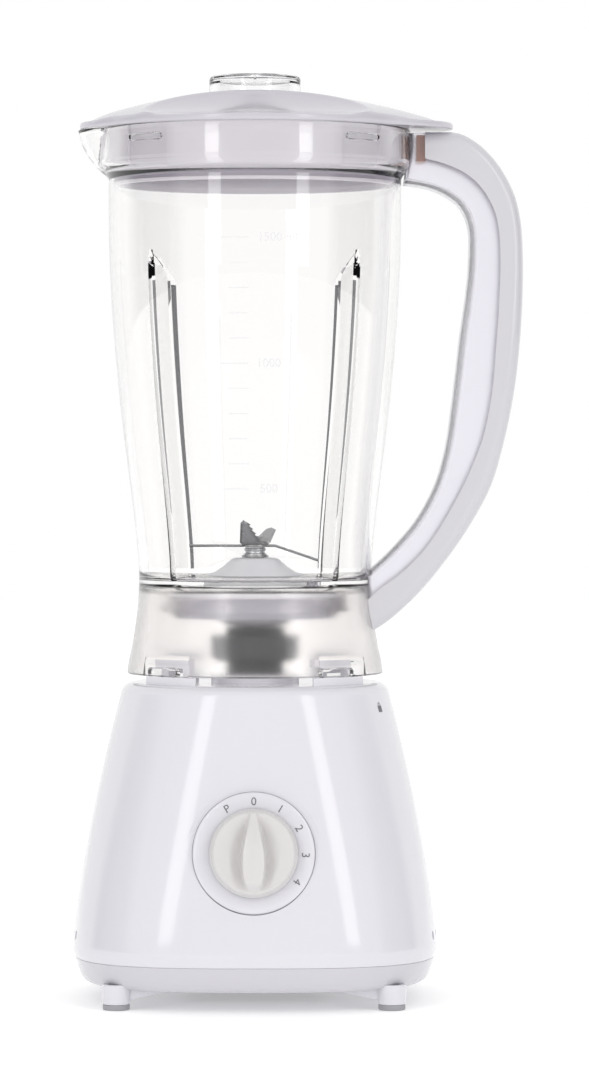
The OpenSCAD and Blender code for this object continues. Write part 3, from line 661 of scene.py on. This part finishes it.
def lug_shape(az):
    """A locking lug: a leg at one end and an arm that reaches over the rest place of a jug tab."""
    tip, leg, end = -14, 7, 11
    low, arm_z, top = pad_top + 0.05, 148.6, 151.7
    profile = [(tip, arm_z), (leg, arm_z), (leg, low), (end, low), (end, top), (tip, top)]
    profile = rounded(profile, 0.5, 3)
    fine = []
    for (a0, z0), (a1, z1) in zip(profile, np.roll(profile, -1, 0)):
        steps = max(1, int(abs(a1 - a0) / 1.5))
        fine += [(a0 + (a1 - a0) * k / steps, z0 + (z1 - z0) * k / steps) for k in range(steps)]
    return skin([[polar(r, radians(az + a), z) for a, z in fine] for r in (46.1, 50.5)])


def make_deck():
    """The four pads of the deck and the locking lugs that stand on them."""
    lugs = []
    for az in corners:
        shape = prism(pad_outline(az), deck_z - 2, pad_top)
        bevel(piece(f"deck_pad_{az}", shape, *on_base), 0.8)
        lugs.append(lug_shape(az))
    bevel(piece("lock_lugs", joined(*lugs), *on_base, ["base_lugs"]), 0.4)


def cover_shape():
    """The bottom cover as a tray: its outside from the ground side up, then its inside back down."""
    low, plate = 8.8, 11.3
    outside = [(low, 6), (low, deck_edge), (9.2, 2.6), (10.2, 1.1), (11.8, 0.3), (15, 0.02)]
    outside += [(seam_z - 0.25, 0), (seam_z - seam_half, seam_chamfer)]
    inside = [(seam_z - seam_half, base_wall), (12, 2.8), (plate, 4)]
    rings = [base_ring(low, 30, 0.5, 30)]
    rings += [base_ring(z, inset) for z, inset in outside + inside]
    return skin(rings + [base_ring(plate, 30, 0.5, 30)])


def make_cover():
    """The bottom cover with its air slots, wells and posts, and the feet with their rubber tips."""
    shell = scratch(cover_shape())
    low, high, pitch, slot_half, slot_reach = 7, 13, 7, 1.5, 24
    slots = []
    for x in range(-4 * pitch, 5 * pitch, pitch):
        slots.append(block((x - slot_half, -slot_reach, low), (x + slot_half, slot_reach, high)))
    wells = at_four(rod((0, 0, low), (0, 0, high), 3.6, 48), screw_x, screw_y)
    carve(shell, [scratch(joined(*slots)), scratch(wells)], "DIFFERENCE")
    shell.name = "cover_shell"
    # The cover's colour is the white plastic darkened as painted shade.
    dress(shell, cover_shaded_white, "base", "white_plastic", ["bottom_cover"])
    posts = at_four(tube(1.8, 5, 10.9, seam_z, 48, 0.3), screw_x, screw_y)
    make_feet()
    piece("cover_posts", posts, *on_base)
    tip = turned([(0.3, 0), (5.4, 0), (5.9, 0.5), (5.9, 2.45), (0.3, 2.45)], 64, 0.25)
    tips = at_four(tip, foot_x, foot_y)
    piece("foot_tips", tips, foot_rubber, "base", "grey_rubber", ["rubber_feet"])


def make_feet():
    """Four foot posts, each with a web that runs in under the cover."""
    post = turned([(3.5, 2.5), (5.9, 2.5), (6.2, 4.0), (6.3, 11.2), (3.5, 11.2)], 64, 0.4)
    piece("foot_posts", at_four(post, foot_x, foot_y), *on_base)
    near, far = foot_x - 5, foot_x - 24
    wedge = [(near, 4.0), (near, 9.4), (far, 9.4), (far, 8.6)]
    webs = []
    for side in (-1, 1):
        for y in (-foot_y, foot_y):
            webs.append(skin([[(side * x, y + half, z) for x, z in wedge] for half in (-1.2, 1.2)]))
    bevel(piece("foot_webs", joined(*webs), *on_base), 0.3)


# ---------- control
def make_plate():
    """The dial plate: a crowned ring round the knob, on a short sleeve, with its marks."""
    hole, crown_r, knob_level = 5.2, 19.5, -0.4
    profile = []
    for r in np.linspace(hole, 25.9, 24):
        crown = 0.35 * sin(pi * (r - crown_r) / 7.0)
        profile.append((r, crown if r > crown_r else knob_level * step(crown_r, 17, r)))
    profile += [(26.3, -0.25), (26.5, -0.7), (26.5, -12), (28.9, -12.1), (28.9, -14), (24.5, -14)]
    profile += [(24.5, -2.6), (hole, -2.6)]
    plate = moved(turned(profile, 192), dial_frame)
    piece("scale_plate", plate, *on_base, ["dial_plate"], sharp=40)
    mark_size, mark_r, mark_lift = 4.9, 22.3, 0.34
    clock = {"P": -31, "0": 0, "1": 31, "2": 61, "3": 92, "4": 123}
    for text, degrees in clock.items():
        out = Matrix.Translation((0, mark_r, mark_lift))
        turn = Matrix.Rotation(-radians(degrees), 4, "Z") @ out
        mark = moved(moved(lettering(text, mark_size), turn), dial_frame)
        piece(f"mark_{text}", mark, print_grey, "base", "white_plastic", sharp=30)


# Half the grip's width, from its tail to the pointer, as (place along the grip, half width).
grip_half = [(-17.2, 1.4), (-15, 3.2), (-12, 4.4), (-8, 5.1), (-4, 5.3), (0, 5.0), (6, 4.0), (12, 2.7),
    (17.4, 1.5)]


def knob_height(x, y):
    """Height of the knob's face over its plate: two dished cheeks and a grip between them."""
    r = np.hypot(x, y)
    side = np.abs(x) - smooth(grip_half, y)
    dish = 2.3 * np.exp(-((np.clip(side, 0, 99) / 4.5) ** 2)) * step(17.5, 8, r)
    cheek = 7.4 + 1.4 * (r / 17.5) ** 2 - dish
    crown = 14.9 - 0.035 * x**2 - 3.4 * step(2, 19, y) - 0.004 * (y + 3) ** 2
    crown = crown - 6.5 * step(-12.5, -18.2, y)
    return cheek + (np.maximum(crown, cheek) - cheek) * step(0.7, -0.7, side)


def make_knob():
    """The knob: a flanged edge below, and rings that follow the height of its face."""
    count = 256
    angles = np.arange(count) * TURN / count
    below = [(3.2, 0.6), (18.8, 0.6), (19.2, 0.9), (19.2, 2.1), (19.0, 2.45), (18.75, 2.6)]
    below += [(18.6, 3.0), (18.1, 6.4), (17.95, 7.4)]
    shape = [circle(r, h, count) for r, h in below]
    for r in np.concatenate([[17.85, 17.6, 17.2], np.linspace(16.8, 0.15, 90)]):
        x, y = r * np.cos(angles), r * np.sin(angles)
        h = knob_height(x, y) - 1.1 * step(17.0, 17.9, np.full(count, r))
        shape.append(np.stack([x, y, h], 1))
    knob = moved(skin(shape), dial_frame)
    piece("knob", knob, knob_white, "control", "knob_plastic", ["control_dial"], sharp=50)


# ---------- jug
# Lines of (height, radius): the wall, the band round the rim outside and inside, and the spout.
jug_line = [(144.3, 57.0), (150, 56.2), (157, 54.7), (166, 53.3), (175, 52.2), (184, 51.75), (191, 51.8),
    (204, 52.8), (220, 54.6), (238, 56.9), (256, 59.1), (274, 61.0), (292, 62.6), (310, 63.9),
    (332, 64.9), (348, 65.15), (band_z, 65.2)]
band_line = [(band_z, 65.2), (366.2, 66.3), (368.4, 68.7), (369.6, 69.35), (372, band_r), (rim_z, band_r)]
lining_line = [(363, 63.0), (364.6, 63.2), (366.3, 65.2), (367.9, 66.8), (370, 67), (rim_z, 67)]
spout_x = 56
spout_line = [(362, 6), (366, 11), (369.3, 14.3), (373.6, 17.9), (378.5, 20.7), (386, 22.9)]


jug_az = angles_round(1.5, (1.0, 1.7, 1.8, 1.95, 2.15, 2.4, 14.3, 14.5, 14.7))
jug_cos, jug_sin = np.cos(np.radians(jug_az)), np.sin(np.radians(jug_az))
off_corner = from_corner(jug_az)
rib_reach, rib_half = 9.0, 1.88
notch_half, notch_r = 14.4, 56.05


def spout_reach(z, inset):
    """Distance of the spout's wall from the drive axis at each angle, 0 where there is none."""
    if z < spout_line[0][0]:
        return np.zeros(len(jug_az))
    r = float(np.interp(z, *zip(*spout_line))) - inset
    room = r * r - (spout_x * jug_sin) ** 2
    far = -spout_x * jug_cos + np.sqrt(np.clip(room, 0, None))
    return np.where((room > 0) & (jug_cos < 0), far, 0)


def jug_ring(r, z):
    """A ring of the jug."""
    return ring_of(jug_cos, jug_sin, r, z)


def radius_on(line, z):
    """Radius at a height of a line."""
    return float(smooth(line, np.array(z)))


def outer_r(z):
    """Distance of the jug's outside from the axis at each angle."""
    line = jug_line if z < band_z else band_line
    return np.maximum(radius_on(line, z), spout_reach(z, 0))


def inner_r(z):
    """Distance of the jug's inside from the axis at each angle, without the ribs."""
    in_band = z > lining_line[0][0]
    wall = radius_on(lining_line, z) if in_band else radius_on(jug_line, z) - jug_wall
    return np.maximum(wall, spout_reach(z, jug_wall))


def rib_depth(z):
    """How far a rib stands in from the wall."""
    top = np.clip((331 - np.array(z)) / 11, 0, 1)
    return rib_reach * top * step(floor_z - 1, floor_z + 0.4, np.array(z))


def jug_outside():
    """Rings of the jug's outside, from the foot of its skirt over the rim."""
    rings = []
    notch_top = 152.1
    low = [[skirt_z + 0.5], np.linspace(skirt_z + 1.5, 151.7, 8), [152, 152.3], np.linspace(154, 166, 8)]
    for z in np.concatenate(low):
        wall = radius_on(jug_line, z)
        in_notch = (off_corner < notch_half) & (z < notch_top)
        rings.append(jug_ring(np.where(in_notch, np.minimum(notch_r, wall - 0.15), wall), z))
    high = [np.linspace(168, 182, 8), [183.3], np.linspace(184.2, 360, 74)]
    high += [np.linspace(361.5, 372, 22), np.linspace(373.5, 384.9, 9)]
    for z in np.concatenate(high):
        rings.append(jug_ring(outer_r(z), z))
    for inset, drop in ((0.15, 0.4), (0.5, 0), (1.9, 0), (2.25, 0.4)):
        rings.append(jug_ring(outer_r(rim_z) - inset, rim_z - drop))
    return rings


def jug_inside():
    """Rings of the jug's inside, from the rim down the ribs to the hole in the floor."""
    rings = []
    heights = [np.linspace(384.9, 370, 10), np.linspace(369, 361, 20), np.linspace(360, floor_z + 2.5, 90)]
    for z in np.concatenate(heights):
        half = rib_half if z < 324 else 1.05 if z < 328.5 else 0.5
        rings.append(jug_ring(inner_r(z) - rib_depth(z) * (off_corner < half), z))
    for lift, pull in ((1.0, 0.5), (0.3, 1.2), (0.0, 2.4)):
        rib = rib_reach * (off_corner < rib_half)
        rings.append(jug_ring(inner_r(floor_z + lift) - pull - rib, floor_z + lift))
    rings += [jug_ring(r, floor_z) for r in (38, 30, 24)]
    rings += [jug_ring(23.2, floor_z - drop) for drop in (0.6, 2.4)]
    return rings


def jug_shape():
    """The jug's bowl and skirt as one skin: outside, inside, under the floor and inside the skirt."""
    under = floor_z - 3
    rings = jug_outside() + jug_inside()
    rings += [jug_ring(r, under) for r in (24, 36, 46)]
    rings.append(jug_ring(radius_on(jug_line, 182.0) - jug_wall - 0.8, under))
    for z in np.concatenate([np.linspace(181.5, 167, 8), np.linspace(166, skirt_z + 0.5, 14)]):
        rings.append(jug_ring(radius_on(jug_line, z) - jug_wall, z))
    skirt_r = jug_line[0][1]
    edge_r = np.where(off_corner < notch_half, notch_r, skirt_r)
    rings += [jug_ring(skirt_r - jug_wall + 0.5, skirt_z), jug_ring(edge_r - 0.5, skirt_z)]
    return skin(rings, closed=True)


# Side view of the handle as (distance from the axis, height): its back, the joint between its
# mouldings, and its grip side, each from the rim down to the skirt.
back_line = [(75.4, 384.7), (82, 384.7), (90.5, 384.3), (98.6, 380.0), (104.5, 374.6), (110.6, 366.4),
    (115.6, 356), (118.2, 344), (119, 331), (118.9, 312), (117.6, 290), (114.6, 266), (110.6, 247),
    (104.6, 227), (95.9, 210.8), (84.5, 194.2), (71, 178.3), (57.1, 166.2), (52.6, 163.4)]
joint_line = [(75.4, 372.9), (82, 371.2), (87.9, 369.1), (93.2, 366.4), (97.8, 362.8), (102.3, 357.4),
    (106, 350.4), (108.2, 341), (108.8, 329), (108.3, 310), (106.9, 289), (104.5, 265), (100.9, 248.5),
    (94.6, 232.5), (86.2, 216.3), (75.8, 200.4), (64.5, 188.9), (53.8, 180.9), (49.6, 176.8)]
grip_line = [(66.0, 361.9), (72, 361.1), (79.5, 359.2), (85.6, 356.2), (90.2, 352.6), (93.3, 347.6),
    (95.1, 341), (95.3, 333), (94.8, 322), (93.2, 308), (91.4, 296), (89.4, 279), (87.5, 263.5),
    (85.0, 246), (80.3, 229.0), (71.6, 212.6), (61.6, 200.6), (53.2, 192.4), (48.8, 188.6)]
handle_half = 13.0


def half_section(depth, half, r):
    """One side of a U: an open end, and a round corner of radius r on the closed side."""
    side = [(0, half)]
    for t in np.linspace(0, pi / 2, 7):
        side.append((depth - r + r * sin(t), half - r + r * cos(t)))
    return side


def handle_section(inner, outer, wall, ends):
    """A U-shaped section between two points of the handle's side view, open towards inner;
    ends rounds the corners on the closed side."""
    inner, outer = np.array(inner, float), np.array(outer, float)
    depth = np.linalg.norm(outer - inner)
    u = (outer - inner) / depth
    r = min(ends, depth * 0.6)
    outside = half_section(depth, handle_half, r)
    inside = half_section(depth - wall, handle_half - wall, max(0.6, r - wall))
    outside += [(d, -y) for d, y in outside[::-1]]
    inside += [(d, -y) for d, y in inside[::-1]]
    return [(inner[0] + u[0] * d, y, inner[1] + u[1] * d) for d, y in outside + inside[::-1]]


def make_handle():
    """The handle: a white back, a clear channel on the grip side and a tongue at the rim, coloured brown as
    painted warm shade.
    """
    count = 90
    back, joint, grip = along(back_line, count), along(joint_line, count), along(grip_line, count)
    cover = skin([handle_section(j, b, 2.6, 5.5) for j, b in zip(joint, back)])
    # The back's colour is the white plastic greyed as painted shade.
    piece("handle_back", cover, handle_shaded_white, "jug_body", "white_plastic", ["handle_cover"], sharp=40)
    tongue = block((71.6, -9.3, 371.6), (75.9, 9.3, 383.4))
    # The tongue is white plastic coloured brown as painted shade.
    bevel(piece("handle_tongue", tongue, shade_brown_tongue, "jug_body", "white_plastic"), 0.5)
    head = [((75.3, 384.0), (67.6, 384.0)), ((75.3, 378.5), (67.6, 376)), ((75.3, 374.4), (67.0, 369.0))]
    pairs = head + list(zip(joint, grip))
    shell = scratch(skin([handle_section(j, g, 2.4, 3.5) for j, g in pairs]))
    wall = [jug_ring(outer_r(z) - 0.05, z) for z in np.linspace(150, 385.9, 120)]
    carve(shell, [scratch(skin(wall))], "DIFFERENCE")
    shell.name = "handle_channel"
    dress(shell, handle_clear, "jug_body", "clear_plastic", ["jug_handle"], sharp=40)


def stadium(length, height, count=10):
    """Outline of a slot with round ends."""
    r = height / 2
    t = np.linspace(-pi / 2, pi / 2, count)
    right = [(length / 2 - r + r * cos(a), r * sin(a)) for a in t]
    return right + [(-x, -y) for x, y in right]


def curved_tab(az, z, length, height, r_in, r_out):
    """A stadium-shaped tab laid round the axis between two radii, its inner edge chamfered."""
    chamfer = 0.35
    rings = []
    for r, small in ((r_in, chamfer), (r_in + chamfer, 0), (r_out, 0)):
        outline = stadium(length - 2 * small, height - 2 * small)
        rings.append([polar(r, radians(az) + x / r_out, z + y) for x, y in outline])
    return skin(rings)


def make_jug():
    """The bowl with its handle, tabs under the lid and over the lugs, collar and ring nut."""
    bowl = scratch(jug_shape())
    make_handle()
    bowl.name = "jug_bowl"
    dress(bowl, glass, "jug_body", "clear_plastic", ["jug", "jug_skirt"], sharp=32)
    for az in corners:
        under_lid = curved_tab(az, 380.25, 19.4, 3.1, 65.3, 67.1)
        over_lug = curved_tab(az - 3, 146.2, 18.5, 3.9, 51.3, 54.9)
        piece(f"lid_tab_{az}", under_lid, *clear_on_jug)
        piece(f"lock_tab_{az}", over_lug, *clear_on_jug)
    collar = tube(39.2, 41.4, 172, 183.1, 128, 0.3)
    piece("nut_collar", collar, *clear_on_jug)
    hole, top, low = 34.6, 178.3, 169
    profile = [(hole, top), (39, top), (39, 175.2), (36.4, 169.6), (36.2, low), (hole, low)]
    ring = turned(profile, 128, 0.3)
    piece("ring_nut", ring, handle_clear, "jug_body", "grey_plastic", ["blade_ring_nut"], sharp=40)


def wrapped(shape, z, lift=0.08):
    """Letters or marks laid on the front of the jug."""
    points, faces = shape
    out = []
    for x, y, h in points:
        r = radius_on(jug_line, z + y) + lift + h
        out.append(polar(r, radians(-90) + x / r, z + y))
    return np.array(out), faces


def make_scale():
    """Graduations of the jug, one every 100 ml, the long ones with figures."""
    top, pitch, half, thick = 335.7, 10.9, 0.18, 0.05
    corner = [(-half, -thick), (half, -thick), (half, thick), (-half, thick)]
    lines = []
    for k in range(11):
        reach, start = (12.4, -14.6) if k % 5 == 0 else (8.8, -11.0)
        strip = [[(start + x, y, h) for y, h in corner] for x in np.linspace(0, reach, 8)]
        lines.append(wrapped(skin(strip), top - pitch * k))
    piece("scale_lines", joined(*lines), scale_grey, "jug_body", "clear_plastic")
    for k, text, middle in ((0, "1500 ml", 10.5), (5, "1000", 6.5), (10, "500", 6.5)):
        points, faces = lettering(text, 5.4)
        figure = wrapped((points + np.array((middle, 0, 0)), faces), top - pitch * k)
        piece(f"scale_figure_{k}", figure, scale_grey, "jug_body", "clear_plastic")


# ---------- blades
def blade_arm(az, lift, length, root, tip, teeth=0, z=201.2, bend_at=8.0):
    """One arm of ground sheet steel, root wide at the hub and tip wide at its end, bent up by lift
    degrees outside bend_at; teeth are cut in its left edge."""
    half, tilt = 0.55, radians(lift)
    rings = []
    for s in np.linspace(0, length, 60):
        share = np.clip((s - bend_at) / (length - bend_at), 0, 1)
        left = right = (root + (tip - root) * share) / 2
        if teeth and share > 0:
            wave = (share * teeth) % 1
            left += 1.4 * (1 - wave) * step(0, 0.12, wave) - 0.3
        blunt = 0.35 + 0.65 * step(length, length - 1.3, s)
        left, right = max(0.1, left * blunt), max(0.1, right * blunt)
        ground = min(1.3, left, right) * 0.8
        section = [(left, 0), (left - ground, half), (-right + ground, half)]
        section += [(-right, 0), (-right + ground, -half), (left - ground, -half)]
        past = max(0, s - bend_at)
        x, h = min(s, bend_at) + past * cos(tilt), past * sin(tilt)
        bent = tilt * step(bend_at - 1.5, bend_at + 1.5, s)
        rings.append([(x - sin(bent) * t, y, h + cos(bent) * t) for y, t in section])
    turn = Matrix.Translation((0, 0, z)) @ Matrix.Rotation(radians(az), 4, "Z")
    return moved(skin(rings), turn)


def make_blades():
    """Two crossed blades on their neck, the stud and nut above them, and the cone below."""
    arms = [blade_arm(0, -19, 33.7, 9, 5.4, bend_at=9), blade_arm(180, 0, 32.0, 9, 5.4)]
    low = joined(tube(4, 6.2, 200.65, 201.75, 64, 0.2), *arms)
    piece("long_blades", low, *on_blades, ["lower_blade"], sharp=25)
    upper_z = 202.4
    arms = [blade_arm(-105, 42, 23, 9.6, 2.6, teeth=5, z=upper_z)]
    arms.append(blade_arm(70, 25, 22.5, 8.6, 5, z=upper_z))
    high = joined(tube(4, 6.2, 201.85, 202.95, 64, 0.2), *arms)
    piece("short_blades", high, *on_blades, ["upper_blade"], sharp=25)

    waist = [(4, 196.9), (5.4, 196.9), (5.3, 197.4), (4.4, 198.0), (4.3, 198.6), (4.9, 199.2)]
    waist += [(5.0, 199.7), (4.4, 200.1), (4.5, 200.6), (4, 200.6)]
    neck = turned(waist, 64, 0.15)
    piece("blade_neck", neck, zinc, "blades", "blade_steel", ["blade_spacer"])
    stud = [(3.95, 203), (3.95, 205.0), (3.6, 205.4), (1.5, 205.5)]
    nut = [(5.2, 203.0), (5.4, 203.2), (5.4, 204.5), (5.1, 204.75)]
    cap = joined(skin([circle(r, z, 6) for r, z in nut]), skin([circle(r, z, 48) for r, z in stud]))
    piece("blade_cap_nut", cap, *on_blades, ["blade_nut"], sharp=25)

    slope = [(9.2, 195.7), (10.2, 195.4), (11.8, 194.1), (15.4, 191.2), (19.8, 188.3), (22.3, 186.4)]
    profile = [(6.5, 195.7), (8.9, 195.75)] + [tuple(p) for p in along(slope, 24)]
    profile += [(22.6, 186.0), (22.8, 185.6), (22.8, 181.5), (37.2, 181.5), (37.2, 178.4)]
    profile += [(34, 178.4), (14, 166), (6.5, 166)]
    cone = turned(profile, 160)
    piece("blade_cone", cone, grey, "jug_body", "grey_plastic", ["blade_base"], sharp=40)


# ---------- lid
lid_az = angles_round(0.9, (9.9, 10.1, 10.3))
lid_cos, lid_sin = np.cos(np.radians(lid_az)), np.sin(np.radians(lid_az))
lid_off = from_corner(lid_az)
lid_tip = np.where(lid_cos < 0, 78.0, 88.2)


def plan_r():
    """Distance of the lid's edge from the axis: a circle that grows into a spout cover and a thumb rest."""
    wing = 1 / np.sqrt((lid_cos / lid_tip) ** 2 + (lid_sin / 50.0) ** 2)
    return soft_max(np.full(len(lid_az), band_r), wing, 3.0)


def dome(x, y):
    """Height of the lid's top before the finger scoops are taken out."""
    fall = np.where(x < 0, 0.0022, 0.0019) * x**2 + (0.001 + 0.00000085 * x**2) * y**2
    past = np.clip(np.abs(x) - np.where(x < 0, 62, 74), 0, 99)
    return crest_z - fall - 2.2 * (past / 16) ** 2


def lid_top(x, y):
    """Height of the lid's top: the dome, a round scoop on each side and a raised crease between them."""
    scoop_r, scoop_y, scoop_z, lip = 74.0, 64, 463.1, 3.0
    reach = np.clip(scoop_r**2 - (np.abs(y) - scoop_y) ** 2, 1, None)
    scoop = scoop_z - np.sqrt(reach)
    top = dome(x, y)
    crease = 0.55 * np.exp(-(((top - scoop) / 0.9) ** 2))
    foot = 0.5 * np.exp(-(((scoop - rim_z - 3.4) / 0.35) ** 2)) * (np.abs(x) < 46)
    face = soft_min(top, scoop, 1.2) + crease - foot
    return np.maximum(soft_max(face, np.full(x.shape, rim_z + lip), 0.6), rim_z + 1.2)


def lid_ring(r, z):
    """A ring of the lid."""
    return ring_of(lid_cos, lid_sin, r, z)


def top_at(r):
    """Height of the lid's top at a distance from the axis."""
    return lid_top(r * lid_cos, r * lid_sin)


def make_lid():
    """The lid as one skin: top, edge, plug with pockets for the tabs, seal seat, underside and well."""
    plan = plan_r()
    hole, well_out, well_in, well_top, well_low = 20.65, 23.6, 18.65, 392, 378
    rings = [lid_ring(hole, well_top), lid_ring(hole, top_at(hole) - 0.5)]
    for f in np.concatenate([np.linspace(0.006, 0.9, 110), np.linspace(0.91, 0.992, 16)]):
        r = hole + (plan - hole) * f
        rings.append(lid_ring(r, top_at(r)))
    edge = top_at(plan)
    low = rim_z + 0.3
    for pull, share in ((0.12, 0.85), (0.0, 0.55), (0.12, 0.12), (0.5, 0.0), (1.2, 0.0)):
        rings.append(lid_ring(plan - pull, low + (edge - 0.3 - low) * share))
    pocket = 1.2 * (lid_off < 10.1)
    plug_r = 66.0
    rings += [lid_ring(plug_r + 0.6 - pocket, low), lid_ring(plug_r + 0.3 - pocket, rim_z)]
    rings += [lid_ring(plug_r - pocket, z) for z in (380, 375, 370.2, 369.0)]
    rings.append(lid_ring(np.minimum(65.6, plug_r - pocket), 368.5))
    seal_seat = [(63.2, 366.9), (62.45, 366.4), (62.4, 365), (62.4, 361.4), (62.0, 361.0)]
    seal_seat += [(60.2, 361.0), (59.8, 361.4), (59.8, 367.8), (63.2, 370.2), (63.4, 371), (63.4, 384)]
    rings += [lid_ring(r, z) for r, z in seal_seat]
    for r in np.linspace(63.2, 24.2, 26):
        under = np.minimum(top_at(r) - 2.8, 400)
        rings.append(lid_ring(r, np.maximum(under, rim_z + 0.2)))
    well = [(well_out, rim_z), (well_out, well_low + 0.4), (well_out - 0.4, well_low), (19.2, well_low)]
    well += [(well_in, well_low + 0.4), (well_in, well_top - 0.3), (19, well_top)]
    rings += [lid_ring(r, z) for r, z in well]
    shell = skin(rings, closed=True)
    replaced = ["lid", "lid_plug", "lid_well"]
    # Its colour is the white plastic darkened as painted shade.
    piece("lid_shell", shell, lid_shaded_white, "lid_body", "white_plastic", replaced, sharp=60)


def make_cap():
    """The measuring cap: a clear cup, upside down in the lid's well."""
    top_r, rest_z, foot = 20.3, 392.3, 375
    profile = [(top_r, rest_z), (top_r, cap_top - 1.6), (19.9, cap_top - 0.5), (18.9, cap_top)]
    profile += [(0.4, cap_top), (0.4, cap_top - 2.4), (15.6, cap_top - 2.5), (16.4, cap_top - 3.6)]
    profile += [(15.75, foot + 0.2), (16.2, foot), (17.5, foot), (17.75, foot + 0.4), (18.3, rest_z)]
    cup = turned(profile, 192, 0.25)
    piece("cap_cup", cup, cap_clear, "cap", "clear_plastic", ["measuring_cap"], sharp=30)


make_housing()
make_deck()
make_cover()
make_press_spring()
make_padlock()
make_plate()
make_knob()
make_jug()
make_scale()
make_blades()
make_lid()
make_cap()


# ---------- stage
def make_floor():
    """A round white floor that glows a little, so that it meets the backdrop."""
    material, _, bsdf = new_material("floor")
    fill(bsdf, Base_Color=(0.93, 0.93, 0.93, 1), Roughness=0.8)
    fill(bsdf, Emission_Color=(1, 1, 1, 1), Emission_Strength=0.25)
    bpy.ops.mesh.primitive_circle_add(vertices=128, radius=6, fill_type="NGON", location=(0, 0, 0))
    floor = bpy.context.object
    floor.name = "floor"
    floor.data.materials.append(material)


def make_world():
    """Even white light all round, with a soft dark zone far out on each side, which draws the edges
    of clear parts. The zones show only in glass and reflections: the backdrop is plain white."""
    world = bpy.data.worlds.new("studio")
    bpy.context.scene.world = world
    world.use_nodes = True
    tree = world.node_tree
    tree.nodes.clear()
    out = tree.nodes.new("ShaderNodeOutputWorld")
    background = node(tree, "ShaderNodeBackground", Strength=1.0)
    tree.links.new(background.outputs[0], out.inputs[0])
    place = tree.nodes.new("ShaderNodeTexCoord")
    split = tree.nodes.new("ShaderNodeSeparateXYZ")
    tree.links.new(place.outputs["Generated"], split.inputs[0])
    front_light = 0.85
    dark = spread(tree, maths(tree, "ABSOLUTE", split.outputs["X"]), 0.0, 1.0, 0.86, 0.95)
    level = spread(tree, split.outputs["Z"], 1.0, 0.0, 0.35, 0.8)
    path = tree.nodes.new("ShaderNodeLightPath")
    unseen = maths(tree, "SUBTRACT", 1.0, path.outputs["Is Camera Ray"])
    share = maths(tree, "MULTIPLY", maths(tree, "MULTIPLY", dark, level), unseen)
    strips = blend_colours(tree, share, (1.0, 1.0, 1.0), (0.10, 0.10, 0.11))
    front = spread(tree, split.outputs["Y"], front_light, 1.0, -0.3, 0.6)
    tree.links.new(strips, background.inputs["Color"])
    strength = maths(tree, "MAXIMUM", front, path.outputs["Is Camera Ray"])
    tree.links.new(strength, background.inputs["Strength"])


def add_light(name, place, target, size, power):
    """A rectangular lamp that points at target; places and size in metres."""
    data = bpy.data.lights.new(name, "AREA")
    data.shape = "RECTANGLE"
    data.size, data.size_y = size
    data.energy = power
    lamp = add_object(name, data)
    lamp.location = place
    lamp.rotation_euler = (Vector(target) - Vector(place)).to_track_quat("-Z", "Y").to_euler()


def make_camera():
    """The photo's camera: a long lens a little above the table, tilted down by less than a degree."""
    eye = (0.0176, -2.154, 0.2393)
    tilt = radians(0.949)
    data = bpy.data.cameras.new("camera")
    data.sensor_fit = "VERTICAL"
    data.sensor_height = 24.0
    data.lens = 107.333333
    camera = add_object("camera", data)
    camera.location = eye
    camera.rotation_euler = (pi / 2 - tilt, 0, 0)
    bpy.context.scene.camera = camera


make_camera()
make_floor()
make_world()
softbox, lamp_power, middle = (0.35, 1.4), 4, (0, 0, 0.2)
add_light("softbox_left", (-0.95, -1.58, 0.9), middle, softbox, lamp_power)
add_light("softbox_right", (1.13, -1.45, 0.9), middle, softbox, lamp_power)
bpy.context.scene.view_settings.view_transform = "Standard"
